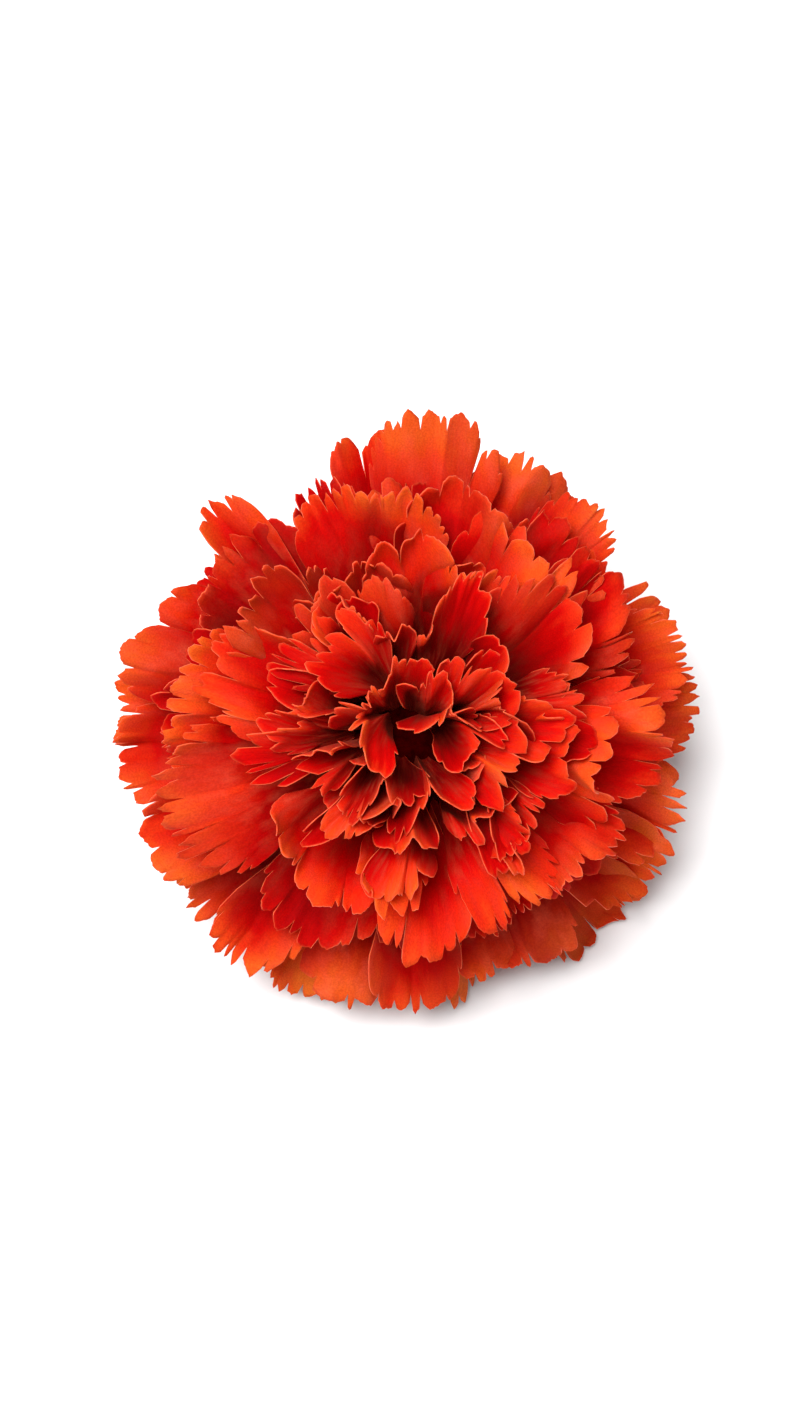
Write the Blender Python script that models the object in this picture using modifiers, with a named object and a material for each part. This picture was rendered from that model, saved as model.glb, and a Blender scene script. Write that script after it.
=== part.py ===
"""A picked carnation bloom, lying face up on the cut end of its stem and on its lowest petals.

The bloom is shaped upright round its own axis, with the fan point, where the petals spread, at zero.
It is then leaned forward and lifted, so that stem end and lowest petals meet the surface at height zero.
"""
import math
from typing import NamedTuple

import bmesh
import bpy
import numpy as np
from mathutils import Matrix, Vector

# Lie of the bloom, in metres and degrees
LEAN = 32.0
LEAN_TOWARD = -76.7
FAN_HEIGHT = 0.0285
SEAT_X = 0.00006
SEAT_Y = -0.00121

# Head of petals
SEED = 5
GOLDEN_ANGLE = 137.508
BLOOM_RADIUS = 0.038
DOME_HEIGHT = 0.031
DOME_POWER = 1.5
SURFACE_CLEARANCE = 0.00031
LAYER_STEP = 0.0008
LAYERS = 3

# A petal as a blade: points across each row from root to tip, and where its root ends
BLADE_THICKNESS = 0.0006
BLADE_ROWS = (3, 5, 5, 9)
RIM_BLADE_ROWS = (3, 5, 9)
BLADE_ROOTS = {"rim": 0.38, "guard": 0.22, "fill": 0.34, "shoulder": 0.34, "crown": 0.32}
BLADE_END = 0.96
NOTCHES = 4
NOTCH_DEPTHS = (0.0008, 0.0030)
CORNER_DROP = {"rim": 0.20, "guard": 0.20, "fill": 0.20, "shoulder": 0.20, "crown": 0.12}

# How a petal opens on its way from the fan point: share of the reach where each bend starts
EYE_RADIUS = 0.0008
OPEN_POWER = 3.0
FLARE_START = 0.55
FLARE_POWER = 1.4
LIP_START = 0.72
CLAW_WIDTH = 0.1
CLAW_POWER = 1.4
LEAST_ARC_RADIUS = 0.007

# Petals of the rim and of the shoulder: azimuth, opening, reach in mm, half width, angles in degrees
RIM_PETALS = (
    (86.2, 86, 39.6, 17), (98.5, 100, 37.2, 12), (112.5, 93, 32.2, 12), (134.5, 86, 37.6, 9),
    (145.5, 100, 31.9, 14), (157.2, 93, 34.6, 12), (168.6, 86, 37.2, 11), (179.8, 100, 37.7, 13),
    (189.7, 93, 37.4, 15), (205.5, 86, 37.2, 14), (221.5, 100, 37.2, 12), (227.5, 93, 37.6, 13),
    (235.0, 86, 38.2, 12), (252.0, 100, 40.4, 14), (259.8, 93, 37.9, 14), (271.9, 86, 38.0, 13),
    (281.6, 100, 39.8, 12), (290.9, 93, 35.6, 14), (303.4, 86, 36.7, 14), (315.3, 100, 44.4, 14),
    (326.6, 93, 40.1, 14), (340.2, 86, 37.7, 14), (352.9, 100, 39.2, 13), (2.4, 93, 38.5, 14),
    (15.5, 86, 36.8, 15), (24.4, 100, 38.4, 9), (34.6, 93, 32.4, 12), (50.0, 86, 36.0, 13),
    (56.7, 100, 37.0, 9), (65.8, 93, 36.8, 12),
)
GUARD_PETALS = ((-104.0, 113, 40.0, 18), (-77.0, 110, 40.0, 18), (-50.0, 113, 40.0, 18))
SHOULDER_PETALS = (
    (225.4, 44.4, 33.4, 30), (197.0, 59.5, 35.5, 26), (255.3, 38.0, 32.4, 20), (272.4, 44.0, 33.2, 20),
    (301.2, 39.5, 32.6, 24), (325.5, 48.9, 33.8, 24), (355.2, 42.9, 33.3, 26), (0.3, 58.9, 34.7, 22),
    (45.2, 40.5, 33.2, 29), (36.9, 60.5, 33.0, 22), (92.8, 50.5, 33.3, 24), (60.7, 54.5, 34.1, 26),
    (124.4, 41.2, 31.8, 29), (161.5, 45.8, 33.4, 24), (168.7, 62.5, 35.0, 22), (105.2, 64.0, 35.0, 24),
    (140.4, 57.0, 34.7, 24), (75.9, 46.0, 31.6, 19), (80.9, 59.8, 34.8, 22), (229.5, 20.3, 31.8, 17),
)

# Petals of the crown: azimuth and opening of the line each grows along, then of the middle of its margin,
# reach in mm, half width
CROWN_PETALS = (
    (129.3, 31.9, 124.9, 43.7, 32.4, 62), (113.9, 24.1, 108.5, 33.5, 31.3, 44),
    (141.8, 14.2, 127.9, 26.5, 32.0, 76), (131.8, 18.0, 167.6, 12.9, 32.6, 44),
    (175.7, 25.7, 180.5, 39.5, 31.7, 50), (151.9, 27.2, 156.6, 37.7, 30.9, 50),
    (184.6, 19.5, 185.4, 26.6, 31.8, 62), (177.9, 13.3, 218.7, 20.0, 30.8, 78),
    (75.8, 13.1, 26.6, 11.0, 30.6, 56), (37.2, 10.7, 258.8, 1.9, 29.6, 52),
    (27.3, 7.6, 356.2, 17.1, 31.6, 60), (36.9, 15.0, 16.9, 26.7, 31.5, 54),
    (52.3, 13.7, 42.4, 25.7, 32.1, 52), (61.3, 8.8, 61.3, 18.8, 32.0, 58),
    (99.5, 7.2, 88.3, 16.8, 30.3, 62), (10.1, 16.5, 2.3, 31.8, 31.2, 46),
    (237.1, 3.6, 276.0, 11.8, 30.8, 66), (316.0, 15.0, 314.9, 24.6, 31.0, 52),
    (250.0, 14.5, 256.9, 22.2, 31.2, 56), (87.3, 18.5, 83.0, 36.9, 31.9, 38),
    (136.4, 25.0, 135.1, 38.4, 31.3, 56), (212.0, 20.0, 222.7, 29.1, 31.0, 54),
)
CROWN_FLARES = (0.60, 0.95)
CROWN_LIP = 0.3
CROWN_STEP = 2

# Petals between rim and shoulder, turned by the golden angle from one to the next
FILL_PETALS = 11
FILL_OPENING = 80.0
FILL_OPENING_RANGE = 14.0
FILL_TURN_SPREAD = 5.0
FILL_REACHES = (0.82, 0.90)
FILL_HALF_WIDTHS = (17.0, 23.0)

# Seeded differences among petals, angles in degrees
TURN_SPREAD = 1.0
KEEL_SPREAD = 0.0016
LIPS = (-4.0, 12.0)
FOLD_STRETCHES = (0.8, 1.25)
FOLD_SIZES = (0.5, 1.4)
FOLD_HEADING_SPREAD = 0.38

# Crumpling by kind of petal, from smooth to crisp
CRUMPLES = {"rim": 0.0, "guard": 0.0, "fill": 0.1, "shoulder": 0.5, "crown": 0.7}

# Waves of a petal, longest first: wavelength and height. Blades carry only the longest of them
FOLDS = ((0.024, 0.0022), (0.015, 0.0016), (0.0095, 0.0010), (0.0058, 0.0004), (0.0036, 0.00012))
CROWN_FOLDS = ((0.020, 0.0013), (0.0110, 0.0017), (0.0075, 0.0010), (0.0050, 0.00045), (0.0030, 0.00018))
COARSE_FOLDS = 2

# How far a wave is creased into a zigzag, from 0 to 1
CREASE = 0.7

# Swirls that crumple the crown, angles in degrees
TWISTS = 24
TWIST_NEAREST = 3.0
TWIST_RANGE = 52.0
TWIST_CROWDING = 0.8
TWIST_TURN = 0.35
TWIST_SPREADS = (9.0, 15.0)
UNTWIST_STEPS = 8

# Dense middle of the head, from the claws in the calyx up to the eye: radius and height
CORE_PROFILE = (
    (0.0, -0.0206), (0.0036, -0.0206), (0.0041, -0.0202), (0.0045, -0.0140), (0.0050, -0.0070),
    (0.0054, -0.0035), (0.0059, 0.0), (0.0070, 0.0027), (0.0085, 0.0034), (0.0110, 0.0032),
    (0.0135, 0.0022), (0.0152, 0.0012), (0.0158, 0.0022), (0.0156, 0.0046), (0.0145, 0.0082),
    (0.0120, 0.0112), (0.0085, 0.0134), (0.0050, 0.0142), (0.0025, 0.0132), (0.0, 0.0110),
)
CORE_SIDES = 28

# Calyx, a tube that parts into five teeth: outer radius and height, then inner
CALYX_OUTER = (
    (0.0025, -0.0260), (0.0040, -0.0260), (0.0048, -0.0252), (0.0052, -0.0220),
    (0.0056, -0.0140), (0.0061, -0.0070), (0.0065, -0.0035),
)
CALYX_INNER = (
    (0.0025, -0.0252), (0.0036, -0.0252), (0.0041, -0.0247), (0.0044, -0.0220),
    (0.0048, -0.0140), (0.0053, -0.0070), (0.0057, -0.0035),
)
CALYX_TEETH = 5
CALYX_TOOTH_FOOT = -0.0030
CALYX_TOOTH_TIP = 0.0022
CALYX_TOOTH_FLARE = 50.0
CALYX_SIDES = 60
CALYX_TOOTH_ROWS = 5

# Epicalyx, two pairs of bracts on one collar: outer radius and height, then inner
EPICALYX_OUTER = ((0.0025, -0.0272), (0.0046, -0.0272), (0.0056, -0.0264), (0.0059, -0.0245))
EPICALYX_INNER = ((0.0025, -0.0264), (0.0043, -0.0264), (0.0051, -0.0255), (0.0053, -0.0245))
BRACT_FOOT = -0.0236
BRACT_TIPS = (-0.0190, -0.0172)
BRACT_FLARE = 16.0
BRACT_COUNT = 4
EPICALYX_SIDES = 48
BRACT_ROWS = 4

# Stem, from the receptacle inside the calyx down past a joint and through the surface: radius and height
STEM_PROFILE = (
    (0.0, -0.0209), (0.0030, -0.0209), (0.0034, -0.0213), (0.0034, -0.0245), (0.0030, -0.0249),
    (0.0022, -0.0249), (0.0022, -0.0275), (0.0029, -0.0277), (0.0031, -0.0286), (0.0027, -0.0298),
    (0.0022, -0.0308), (0.0022, -0.0370), (0.0, -0.0370),
)
STEM_SIDES = 28
MERGE_WITHIN = 0.00001


class Petal(NamedTuple):
    azimuth: float
    opening: float
    reach: float
    half_width: float
    folds: tuple
    keel: float
    lip: float
    notches: tuple
    kind: str
    turn: np.ndarray
    flare: float


def lie_matrix():
    """From the upright bloom to the bloom as it lies."""
    toward = math.radians(LEAN_TOWARD)
    lean = (
        Matrix.Rotation(toward, 4, "Z")
        @ Matrix.Rotation(math.radians(LEAN), 4, "Y")
        @ Matrix.Rotation(-toward, 4, "Z")
    )
    return Matrix.Translation(Vector((SEAT_X, SEAT_Y, FAN_HEIGHT))) @ lean


def laid(points):
    """Upright points as an array, moved to where the bloom lies."""
    lie = np.array(lie_matrix())
    return points @ lie[:3, :3].T + lie[:3, 3]


def dome_reach(opening):
    share = min(opening / math.radians(90.0), 1.0)
    return DOME_HEIGHT + (BLOOM_RADIUS - DOME_HEIGHT) * share ** DOME_POWER


def draw_petal(rng, azimuth, opening, reach, half_width, kind, turn=None, flare=0.0):
    crumple = CRUMPLES[kind]
    folds = []
    for wavelength, height in CROWN_FOLDS if kind == "crown" else FOLDS:
        length = wavelength * rng.uniform(*FOLD_STRETCHES)
        heading = rng.normal(0.0, FOLD_HEADING_SPREAD)
        phase = rng.uniform(0.0, 2.0 * math.pi)
        folds.append((length, heading, phase, height * rng.uniform(*FOLD_SIZES) * (0.75 + 0.9 * crumple)))
    keel = rng.normal(0.0, KEEL_SPREAD)
    lip = math.radians(rng.uniform(*LIPS)) * (0.4 + crumple) * (CROWN_LIP if kind == "crown" else 1.0)
    notches = tuple(rng.uniform(*NOTCH_DEPTHS, NOTCHES))
    turn = np.eye(3) if turn is None else turn
    azimuth, opening, half_width = math.radians(azimuth), math.radians(opening), math.radians(half_width)
    return Petal(azimuth, opening, reach, half_width, tuple(folds), keel, lip, notches, kind, turn, flare)


def direction(azimuth, opening, reach, twists):
    """Unit vector that the twists turn to an azimuth and opening in degrees, at this reach."""
    azimuth, opening = math.radians(azimuth), math.radians(opening)
    across = math.sin(opening)
    wanted = np.array([across * math.cos(azimuth), across * math.sin(azimuth), math.cos(opening)])
    aim = wanted
    for _ in range(UNTWIST_STEPS):
        aim = aim + wanted - twisted(aim * reach, twists) / reach
        aim = aim / np.linalg.norm(aim)
    return aim


def draw_shoulder_petal(rng, twists, azimuth, opening, reach, half_width):
    aim = direction(azimuth, opening, reach, twists)
    azimuth = math.degrees(math.atan2(aim[1], aim[0]))
    return draw_petal(rng, azimuth, math.degrees(math.acos(aim[2])), reach, half_width, "shoulder")


def draw_crown_petal(rng, twists, root_azimuth, root_opening, azimuth, opening, reach, half_width):
    """A petal that grows along a line of its own and flares toward the middle of its margin."""
    root = direction(root_azimuth, root_opening, reach, twists)
    tip = direction(azimuth, opening, reach, twists)
    spread = math.degrees(math.acos(root @ tip))
    face = tip - (root @ tip) * root
    face = face / np.linalg.norm(face)
    turn = np.stack([face, np.cross(root, face), root], axis=-1)
    return draw_petal(rng, 0.0, spread, reach, half_width, "crown", turn, rng.uniform(*CROWN_FLARES))


def draw_petals(twists):
    """The petals of the head, from the rim to the crown, each from a seed of its own."""
    petals = []
    count = FILL_PETALS + len(RIM_PETALS + GUARD_PETALS + SHOULDER_PETALS + CROWN_PETALS)
    draws = (np.random.default_rng(seed) for seed in np.random.SeedSequence(SEED).spawn(count))
    for azimuth, opening, reach, half_width in RIM_PETALS:
        rng = next(draws)
        turn = azimuth + rng.normal(0.0, TURN_SPREAD)
        spread = opening + rng.normal(0.0, TURN_SPREAD)
        petals.append(draw_petal(rng, turn, spread, reach / 1000.0, half_width, "rim"))
    for azimuth, opening, reach, half_width in GUARD_PETALS:
        petals.append(draw_petal(next(draws), azimuth, opening, reach / 1000.0, half_width, "guard"))
    for n in range(FILL_PETALS):
        rng = next(draws)
        opening = FILL_OPENING - FILL_OPENING_RANGE * n / FILL_PETALS + rng.normal(0.0, TURN_SPREAD)
        azimuth = n * GOLDEN_ANGLE + rng.normal(0.0, FILL_TURN_SPREAD)
        reach = dome_reach(math.radians(opening)) * rng.uniform(*FILL_REACHES)
        petals.append(draw_petal(rng, azimuth, opening, reach, rng.uniform(*FILL_HALF_WIDTHS), "fill"))
    for azimuth, opening, reach, half_width in SHOULDER_PETALS:
        petals.append(draw_shoulder_petal(next(draws), twists, azimuth, opening, reach / 1000.0, half_width))
    for *stand, reach, half_width in CROWN_PETALS:
        petals.append(draw_crown_petal(next(draws), twists, *stand, reach / 1000.0, half_width))
    return petals


def draw_twists():
    """Swirls that crumple the crown: axis, turn and spread of each."""
    rng = np.random.default_rng(SEED + 1)
    twists = []
    for n in range(TWISTS):
        polar = math.radians(TWIST_NEAREST + TWIST_RANGE * (n / (TWISTS - 1)) ** TWIST_CROWDING)
        azimuth = math.radians(n * GOLDEN_ANGLE)
        axis = (math.sin(polar) * math.cos(azimuth), math.sin(polar) * math.sin(azimuth), math.cos(polar))
        turn = TWIST_TURN * rng.choice((-1.0, 1.0)) * rng.uniform(0.5, 1.0)
        twists.append((np.array(axis), turn, math.radians(rng.uniform(*TWIST_SPREADS))))
    return twists


def twisted(points, twists):
    """Points turned about each swirl's axis, most at the axis and at the outside of the head."""
    dist = np.linalg.norm(points, axis=-1, keepdims=True)
    share = np.clip(dist[..., 0] / BLOOM_RADIUS, 0.0, 1.0)
    for axis, turn, spread in twists:
        apart = np.arccos(np.clip((points / np.maximum(dist, 1e-9)) @ axis, -1.0, 1.0))
        angle = (turn * np.exp(-(apart / spread) ** 2) * share ** 2)[..., None]
        across = np.cross(np.broadcast_to(axis, points.shape), points)
        along = (points @ axis)[..., None] * axis
        points = along + (points - along) * np.cos(angle) + across * np.sin(angle)
    return points


def petal_points(petal, across, share, twists):
    """Upright points of a petal: across runs from -1 to 1, share from 0 at the root to 1 at the tip."""
    dist = petal.reach * share
    left = np.clip(1.0 - share, 0.0, 1.0)
    open_out = (1.0 - petal.flare) * (1.0 - left ** OPEN_POWER)
    flared = np.clip((share - FLARE_START) / (1.0 - FLARE_START), 0.0, None) ** FLARE_POWER
    polar = petal.opening * (open_out + petal.flare * flared)
    polar = polar + petal.lip * np.clip((share - LIP_START) / (1.0 - LIP_START), 0.0, None) ** 2
    half = petal.half_width * (1.0 - (1.0 - CLAW_WIDTH) * left ** CLAW_POWER)
    arc = across * half * np.maximum(EYE_RADIUS + dist * np.sin(polar), LEAST_ARC_RADIUS)
    rise = petal.keel * (1.0 - 2.0 * np.abs(across) ** 1.2) * share ** 1.5
    for wavelength, heading, phase, height in petal.folds[:COARSE_FOLDS]:
        run = arc * math.cos(heading) + dist * math.sin(heading)
        wave = np.sin(2.0 * math.pi * run / wavelength + phase)
        creased = np.arcsin(0.98 * wave) * 2.0 / math.pi
        grow = share ** (1.6 + 1.2 * petal.flare)
        rise = rise + height * grow * ((1.0 - CREASE) * wave + CREASE * creased)
    polar = polar + rise / np.maximum(dist, 0.004)
    radius = EYE_RADIUS + dist * np.sin(polar)
    turn = petal.azimuth + across * half
    points = np.stack([radius * np.cos(turn), radius * np.sin(turn), dist * np.cos(polar)], -1)
    return twisted(points @ petal.turn.T, twists)


def coarse_margin(petal, across):
    """Share of the reach at each column of a coarse margin, with every other column a notch."""
    share = 1.0 - CORNER_DROP[petal.kind] * np.abs(across) ** 3
    share[1::2] -= np.array(petal.notches) / petal.reach
    return share


def new_object(name, vertices, faces):
    mesh = bpy.data.meshes.new(name)
    mesh.from_pydata([tuple(v) for v in vertices], [], [tuple(f) for f in faces])
    mesh.update()
    obj = bpy.data.objects.new(name, mesh)
    bpy.context.scene.collection.objects.link(obj)
    return obj


def strip(below, above):
    """Triangles between two rows of points, the upper with as many spans as the lower or twice as many."""
    faces = []
    if len(above) == len(below):
        for k in range(len(below) - 1):
            a, b, c, d = below[k], below[k + 1], above[k + 1], above[k]
            if k % 2 == 0:
                faces.extend(((a, b, c), (a, c, d)))
            else:
                faces.extend(((a, b, d), (b, c, d)))
        return faces
    for k in range(len(below) - 1):
        a, b = below[k], below[k + 1]
        d, e, f = above[2 * k], above[2 * k + 1], above[2 * k + 2]
        faces.extend(((a, e, d), (a, b, e), (b, f, e)))
    return faces


def blade(name, petal, layer, twists):
    """One petal as a thin waved blade, split into triangles before it is thickened."""
    rows = RIM_BLADE_ROWS if petal.kind == "rim" else BLADE_ROWS
    root = BLADE_ROOTS[petal.kind]
    vertices = []
    faces = []
    below = None
    for step, count in enumerate(rows):
        across = np.linspace(-1.0, 1.0, count)
        level = root + step / (len(rows) - 1) * (BLADE_END - root)
        share = coarse_margin(petal, across) if step == len(rows) - 1 else np.full(count, level)
        points = laid(petal_points(petal, across, share, twists))
        points[:, 2] = np.maximum(points[:, 2], SURFACE_CLEARANCE + layer * LAYER_STEP)
        here = list(range(len(vertices), len(vertices) + count))
        vertices.extend(points.tolist())
        if below:
            faces.extend(strip(below, here))
        below = here
    obj = new_object(name, vertices, faces)
    thick = obj.modifiers.new("thickness", "SOLIDIFY")
    thick.thickness = BLADE_THICKNESS
    thick.offset = 0.0
    apply_modifiers(obj)
    return obj


def apply_modifiers(obj):
    depsgraph = bpy.context.evaluated_depsgraph_get()
    mesh = bpy.data.meshes.new_from_object(obj.evaluated_get(depsgraph))
    obj.modifiers.clear()
    obj.data = mesh


def turned_solid(name, profile, sides):
    """A solid turned from a profile that starts and ends on the axis, laid as the bloom lies."""
    points = [(radius, 0.0, height) for radius, height in profile]
    mesh = bpy.data.meshes.new(name)
    mesh.from_pydata(points, [(n, n + 1) for n in range(len(points) - 1)], [])
    obj = bpy.data.objects.new(name, mesh)
    bpy.context.scene.collection.objects.link(obj)
    turn = obj.modifiers.new("turn", "SCREW")
    turn.steps = sides
    turn.render_steps = sides
    turn.use_merge_vertices = True
    turn.merge_threshold = MERGE_WITHIN
    turn.use_smooth_shade = False
    apply_modifiers(obj)
    obj.data.transform(lie_matrix())
    face_outward(obj)
    return obj


def toothed_shell(name, outer, inner, sides, teeth_rows, tooth_points):
    """A cup with a toothed rim: both skins joined along the rim and round the hole at the foot."""
    turns = [2.0 * math.pi * k / sides for k in range(sides)]
    skins = []
    for profile, side in ((outer, 1), (inner, -1)):
        skin = []
        for radius, height in profile:
            skin.append([(radius * math.cos(t), radius * math.sin(t), height) for t in turns])
        for row in range(1, teeth_rows + 1):
            skin.append([tooth_points(t, row / teeth_rows, side, profile[-1]) for t in turns])
        skins.append(skin)
    vertices = [point for skin in skins for ring in skin for point in ring]
    rows = len(skins[0])
    start = rows * sides
    faces = []
    for row in range(rows - 1):
        for k in range(sides):
            n = (k + 1) % sides
            low, high = row * sides, (row + 1) * sides
            faces.append((low + k, low + n, high + n, high + k))
            faces.append((start + low + n, start + low + k, start + high + k, start + high + n))
    top = (rows - 1) * sides
    for k in range(sides):
        n = (k + 1) % sides
        faces.append((top + k, top + n, start + top + n, start + top + k))
        faces.append((n, k, start + k, start + n))
    return new_object(name, laid(np.array(vertices)), faces)


def calyx_tooth(turn, share, side, foot):
    """Point of a calyx tooth, which narrows to its tip and leans outward."""
    along = (turn * CALYX_TEETH / (2.0 * math.pi)) % 1.0
    rise = 1.0 - abs(2.0 * along - 1.0)
    top = CALYX_TOOTH_FOOT + (CALYX_TOOTH_TIP - CALYX_TOOTH_FOOT) * rise ** 0.85
    height = foot[1] + share * (top - foot[1])
    radius = foot[0] + CALYX_TOOTH_FLARE * (height - foot[1]) ** 2
    if side < 0:
        radius = radius + 0.0001 * share
    return (radius * math.cos(turn), radius * math.sin(turn), height)


def bract_point(turn, share, side, foot):
    """Point of a bract, broad at its foot and pointed at its tip."""
    along = (turn * BRACT_COUNT / (2.0 * math.pi)) % 1.0
    tip = BRACT_TIPS[int(turn * BRACT_COUNT / (2.0 * math.pi)) % 2]
    rise = math.sin(math.pi * along) ** 0.8
    top = BRACT_FOOT + (tip - BRACT_FOOT) * rise
    height = foot[1] + share * (top - foot[1])
    radius = foot[0] + BRACT_FLARE * (height - foot[1]) ** 2 + 0.05 * (height - foot[1])
    return (radius * math.cos(turn), radius * math.sin(turn), height)


def cut_stem(name):
    """Stem and receptacle in one, cut off level where the bloom rests on it."""
    obj = turned_solid(name, STEM_PROFILE, STEM_SIDES)
    bm = bmesh.new()
    bm.from_mesh(obj.data)
    everything = bm.verts[:] + bm.edges[:] + bm.faces[:]
    cut = bmesh.ops.bisect_plane(
        bm, geom=everything, plane_co=(0.0, 0.0, 0.0), plane_no=(0.0, 0.0, 1.0), clear_inner=True
    )
    rim = [item for item in cut["geom_cut"] if isinstance(item, bmesh.types.BMEdge)]
    bmesh.ops.contextual_create(bm, geom=rim)
    bm.to_mesh(obj.data)
    bm.free()
    return obj


def drop_flaps(bm):
    """Take away triangles that lie back to back on the same three corners."""
    alike = {}
    for face in bm.faces:
        alike.setdefault(frozenset(vert.index for vert in face.verts), []).append(face)
    flaps = [face for faces in alike.values() if len(faces) == 2 for face in faces]
    bmesh.ops.delete(bm, geom=flaps, context="FACES")


def keep_main_body(mesh):
    """Leave only the largest connected body, so that sealed hollows are filled and scraps dropped."""
    bm = bmesh.new()
    bm.from_mesh(mesh)
    bmesh.ops.triangulate(bm, faces=bm.faces[:])
    drop_flaps(bm)
    unseen = set(bm.faces)
    bodies = []
    while unseen:
        stack = [unseen.pop()]
        body = []
        while stack:
            face = stack.pop()
            body.append(face)
            for edge in face.edges:
                for other in edge.link_faces:
                    if other in unseen:
                        unseen.discard(other)
                        stack.append(other)
        volume = sum(f.verts[0].co.dot(f.verts[1].co.cross(f.verts[2].co)) for f in body) / 6.0
        bodies.append((volume, body))
    bodies.sort(key=lambda item: -item[0])
    spare = [face for item in bodies[1:] for face in item[1]]
    bmesh.ops.delete(bm, geom=spare, context="FACES")
    loose = [vert for vert in bm.verts if not vert.link_faces]
    bmesh.ops.delete(bm, geom=loose, context="VERTS")
    bm.to_mesh(mesh)
    bm.free()


def make_head():
    """The petals and their dense middle joined into one body, with some of the crown's left out."""
    twists = draw_twists()
    head = turned_solid("petals", CORE_PROFILE, CORE_SIDES)
    blades = bpy.data.collections.new("blades")
    bpy.context.scene.collection.children.link(blades)
    petals = draw_petals(twists)
    outside = len(petals) - len(CROWN_PETALS)
    for n, petal in enumerate(petals[:outside] + petals[outside::CROWN_STEP]):
        layer = 0 if petal.kind == "guard" else 1 + n % LAYERS
        obj = blade(f"blade_{n:02d}", petal, layer, twists)
        bpy.context.scene.collection.objects.unlink(obj)
        blades.objects.link(obj)
    join = head.modifiers.new("join", "BOOLEAN")
    join.operation = "UNION"
    join.operand_type = "COLLECTION"
    join.collection = blades
    join.solver = "MANIFOLD"
    apply_modifiers(head)
    for obj in list(blades.objects):
        bpy.data.objects.remove(obj, do_unlink=True)
    bpy.data.collections.remove(blades)
    keep_main_body(head.data)
    return head


def face_outward(obj):
    bm = bmesh.new()
    bm.from_mesh(obj.data)
    bmesh.ops.recalc_face_normals(bm, faces=bm.faces[:])
    bm.to_mesh(obj.data)
    bm.free()


def add_material(obj, color, roughness):
    material = bpy.data.materials.new(obj.name)
    material.use_nodes = True
    shader = material.node_tree.nodes["Principled BSDF"]
    shader.inputs["Base Color"].default_value = (*color, 1.0)
    shader.inputs["Roughness"].default_value = roughness
    obj.data.materials.clear()
    obj.data.materials.append(material)


for old in list(bpy.data.objects):
    bpy.data.objects.remove(old, do_unlink=True)

petals = make_head()
calyx = toothed_shell("calyx", CALYX_OUTER, CALYX_INNER, CALYX_SIDES, CALYX_TOOTH_ROWS, calyx_tooth)
epicalyx = toothed_shell(
    "epicalyx", EPICALYX_OUTER, EPICALYX_INNER, EPICALYX_SIDES, BRACT_ROWS, bract_point
)
stem = cut_stem("stem")

for part in (calyx, epicalyx, stem):
    face_outward(part)

add_material(petals, (0.60, 0.020, 0.006), 0.6)
add_material(calyx, (0.13, 0.24, 0.06), 0.5)
add_material(epicalyx, (0.16, 0.27, 0.07), 0.5)
add_material(stem, (0.12, 0.24, 0.08), 0.5)
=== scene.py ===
"""Looks of a picked carnation bloom, which lies face up on its lowest petals and its cut stem.

The petals grow from the same named values as the part's solids, with more of them, and with finer
folds, lobes, teeth and colour. Distances are in metres and angles in degrees where nothing else is said.
"""
import math
from typing import NamedTuple

import bpy
import numpy as np
from mathutils import Matrix, Vector


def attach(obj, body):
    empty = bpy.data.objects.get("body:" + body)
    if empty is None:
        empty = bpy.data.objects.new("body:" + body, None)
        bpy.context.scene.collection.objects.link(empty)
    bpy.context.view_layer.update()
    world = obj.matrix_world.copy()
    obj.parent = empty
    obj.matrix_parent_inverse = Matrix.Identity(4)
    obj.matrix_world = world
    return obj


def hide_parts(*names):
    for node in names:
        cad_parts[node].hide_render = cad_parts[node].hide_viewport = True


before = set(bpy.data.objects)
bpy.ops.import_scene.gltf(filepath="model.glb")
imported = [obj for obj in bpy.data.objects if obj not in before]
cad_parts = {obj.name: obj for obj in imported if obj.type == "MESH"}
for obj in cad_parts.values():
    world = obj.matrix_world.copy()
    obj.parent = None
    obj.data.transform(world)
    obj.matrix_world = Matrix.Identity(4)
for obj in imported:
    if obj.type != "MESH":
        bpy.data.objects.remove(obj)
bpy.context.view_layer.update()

# Lie of the bloom
LEAN = 32.0
LEAN_TOWARD = -76.7
FAN_HEIGHT = 0.0285
SEAT_X = 0.00006
SEAT_Y = -0.00121

# Head of petals
SEED = 5
GOLDEN_ANGLE = 137.508
BLOOM_RADIUS = 0.038
DOME_HEIGHT = 0.031
DOME_POWER = 1.5
SURFACE_CLEARANCE = 0.00031
LAYER_STEP = 0.0008
LAYERS = 3

# How a petal opens and widens on its way from the fan point, with places as shares of its reach
EYE_RADIUS = 0.0008
OPEN_POWER = 3.0
FLARE_START = 0.55
FLARE_POWER = 1.4
LIP_START = 0.72
CLAW_WIDTH = 0.1
CLAW_POWER = 1.4
LEAST_ARC_RADIUS = 0.007
LEAST_OPENING = 3.0
LEAST_SPREAD = 0.18
KEEL_SHARPNESS = 1.2
KEEL_GROWTH = 1.5
CORNER_POWER = 3
CORNER_DROP = {"rim": 0.20, "guard": 0.20, "fill": 0.20, "shoulder": 0.20, "crown": 0.12}

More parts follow.
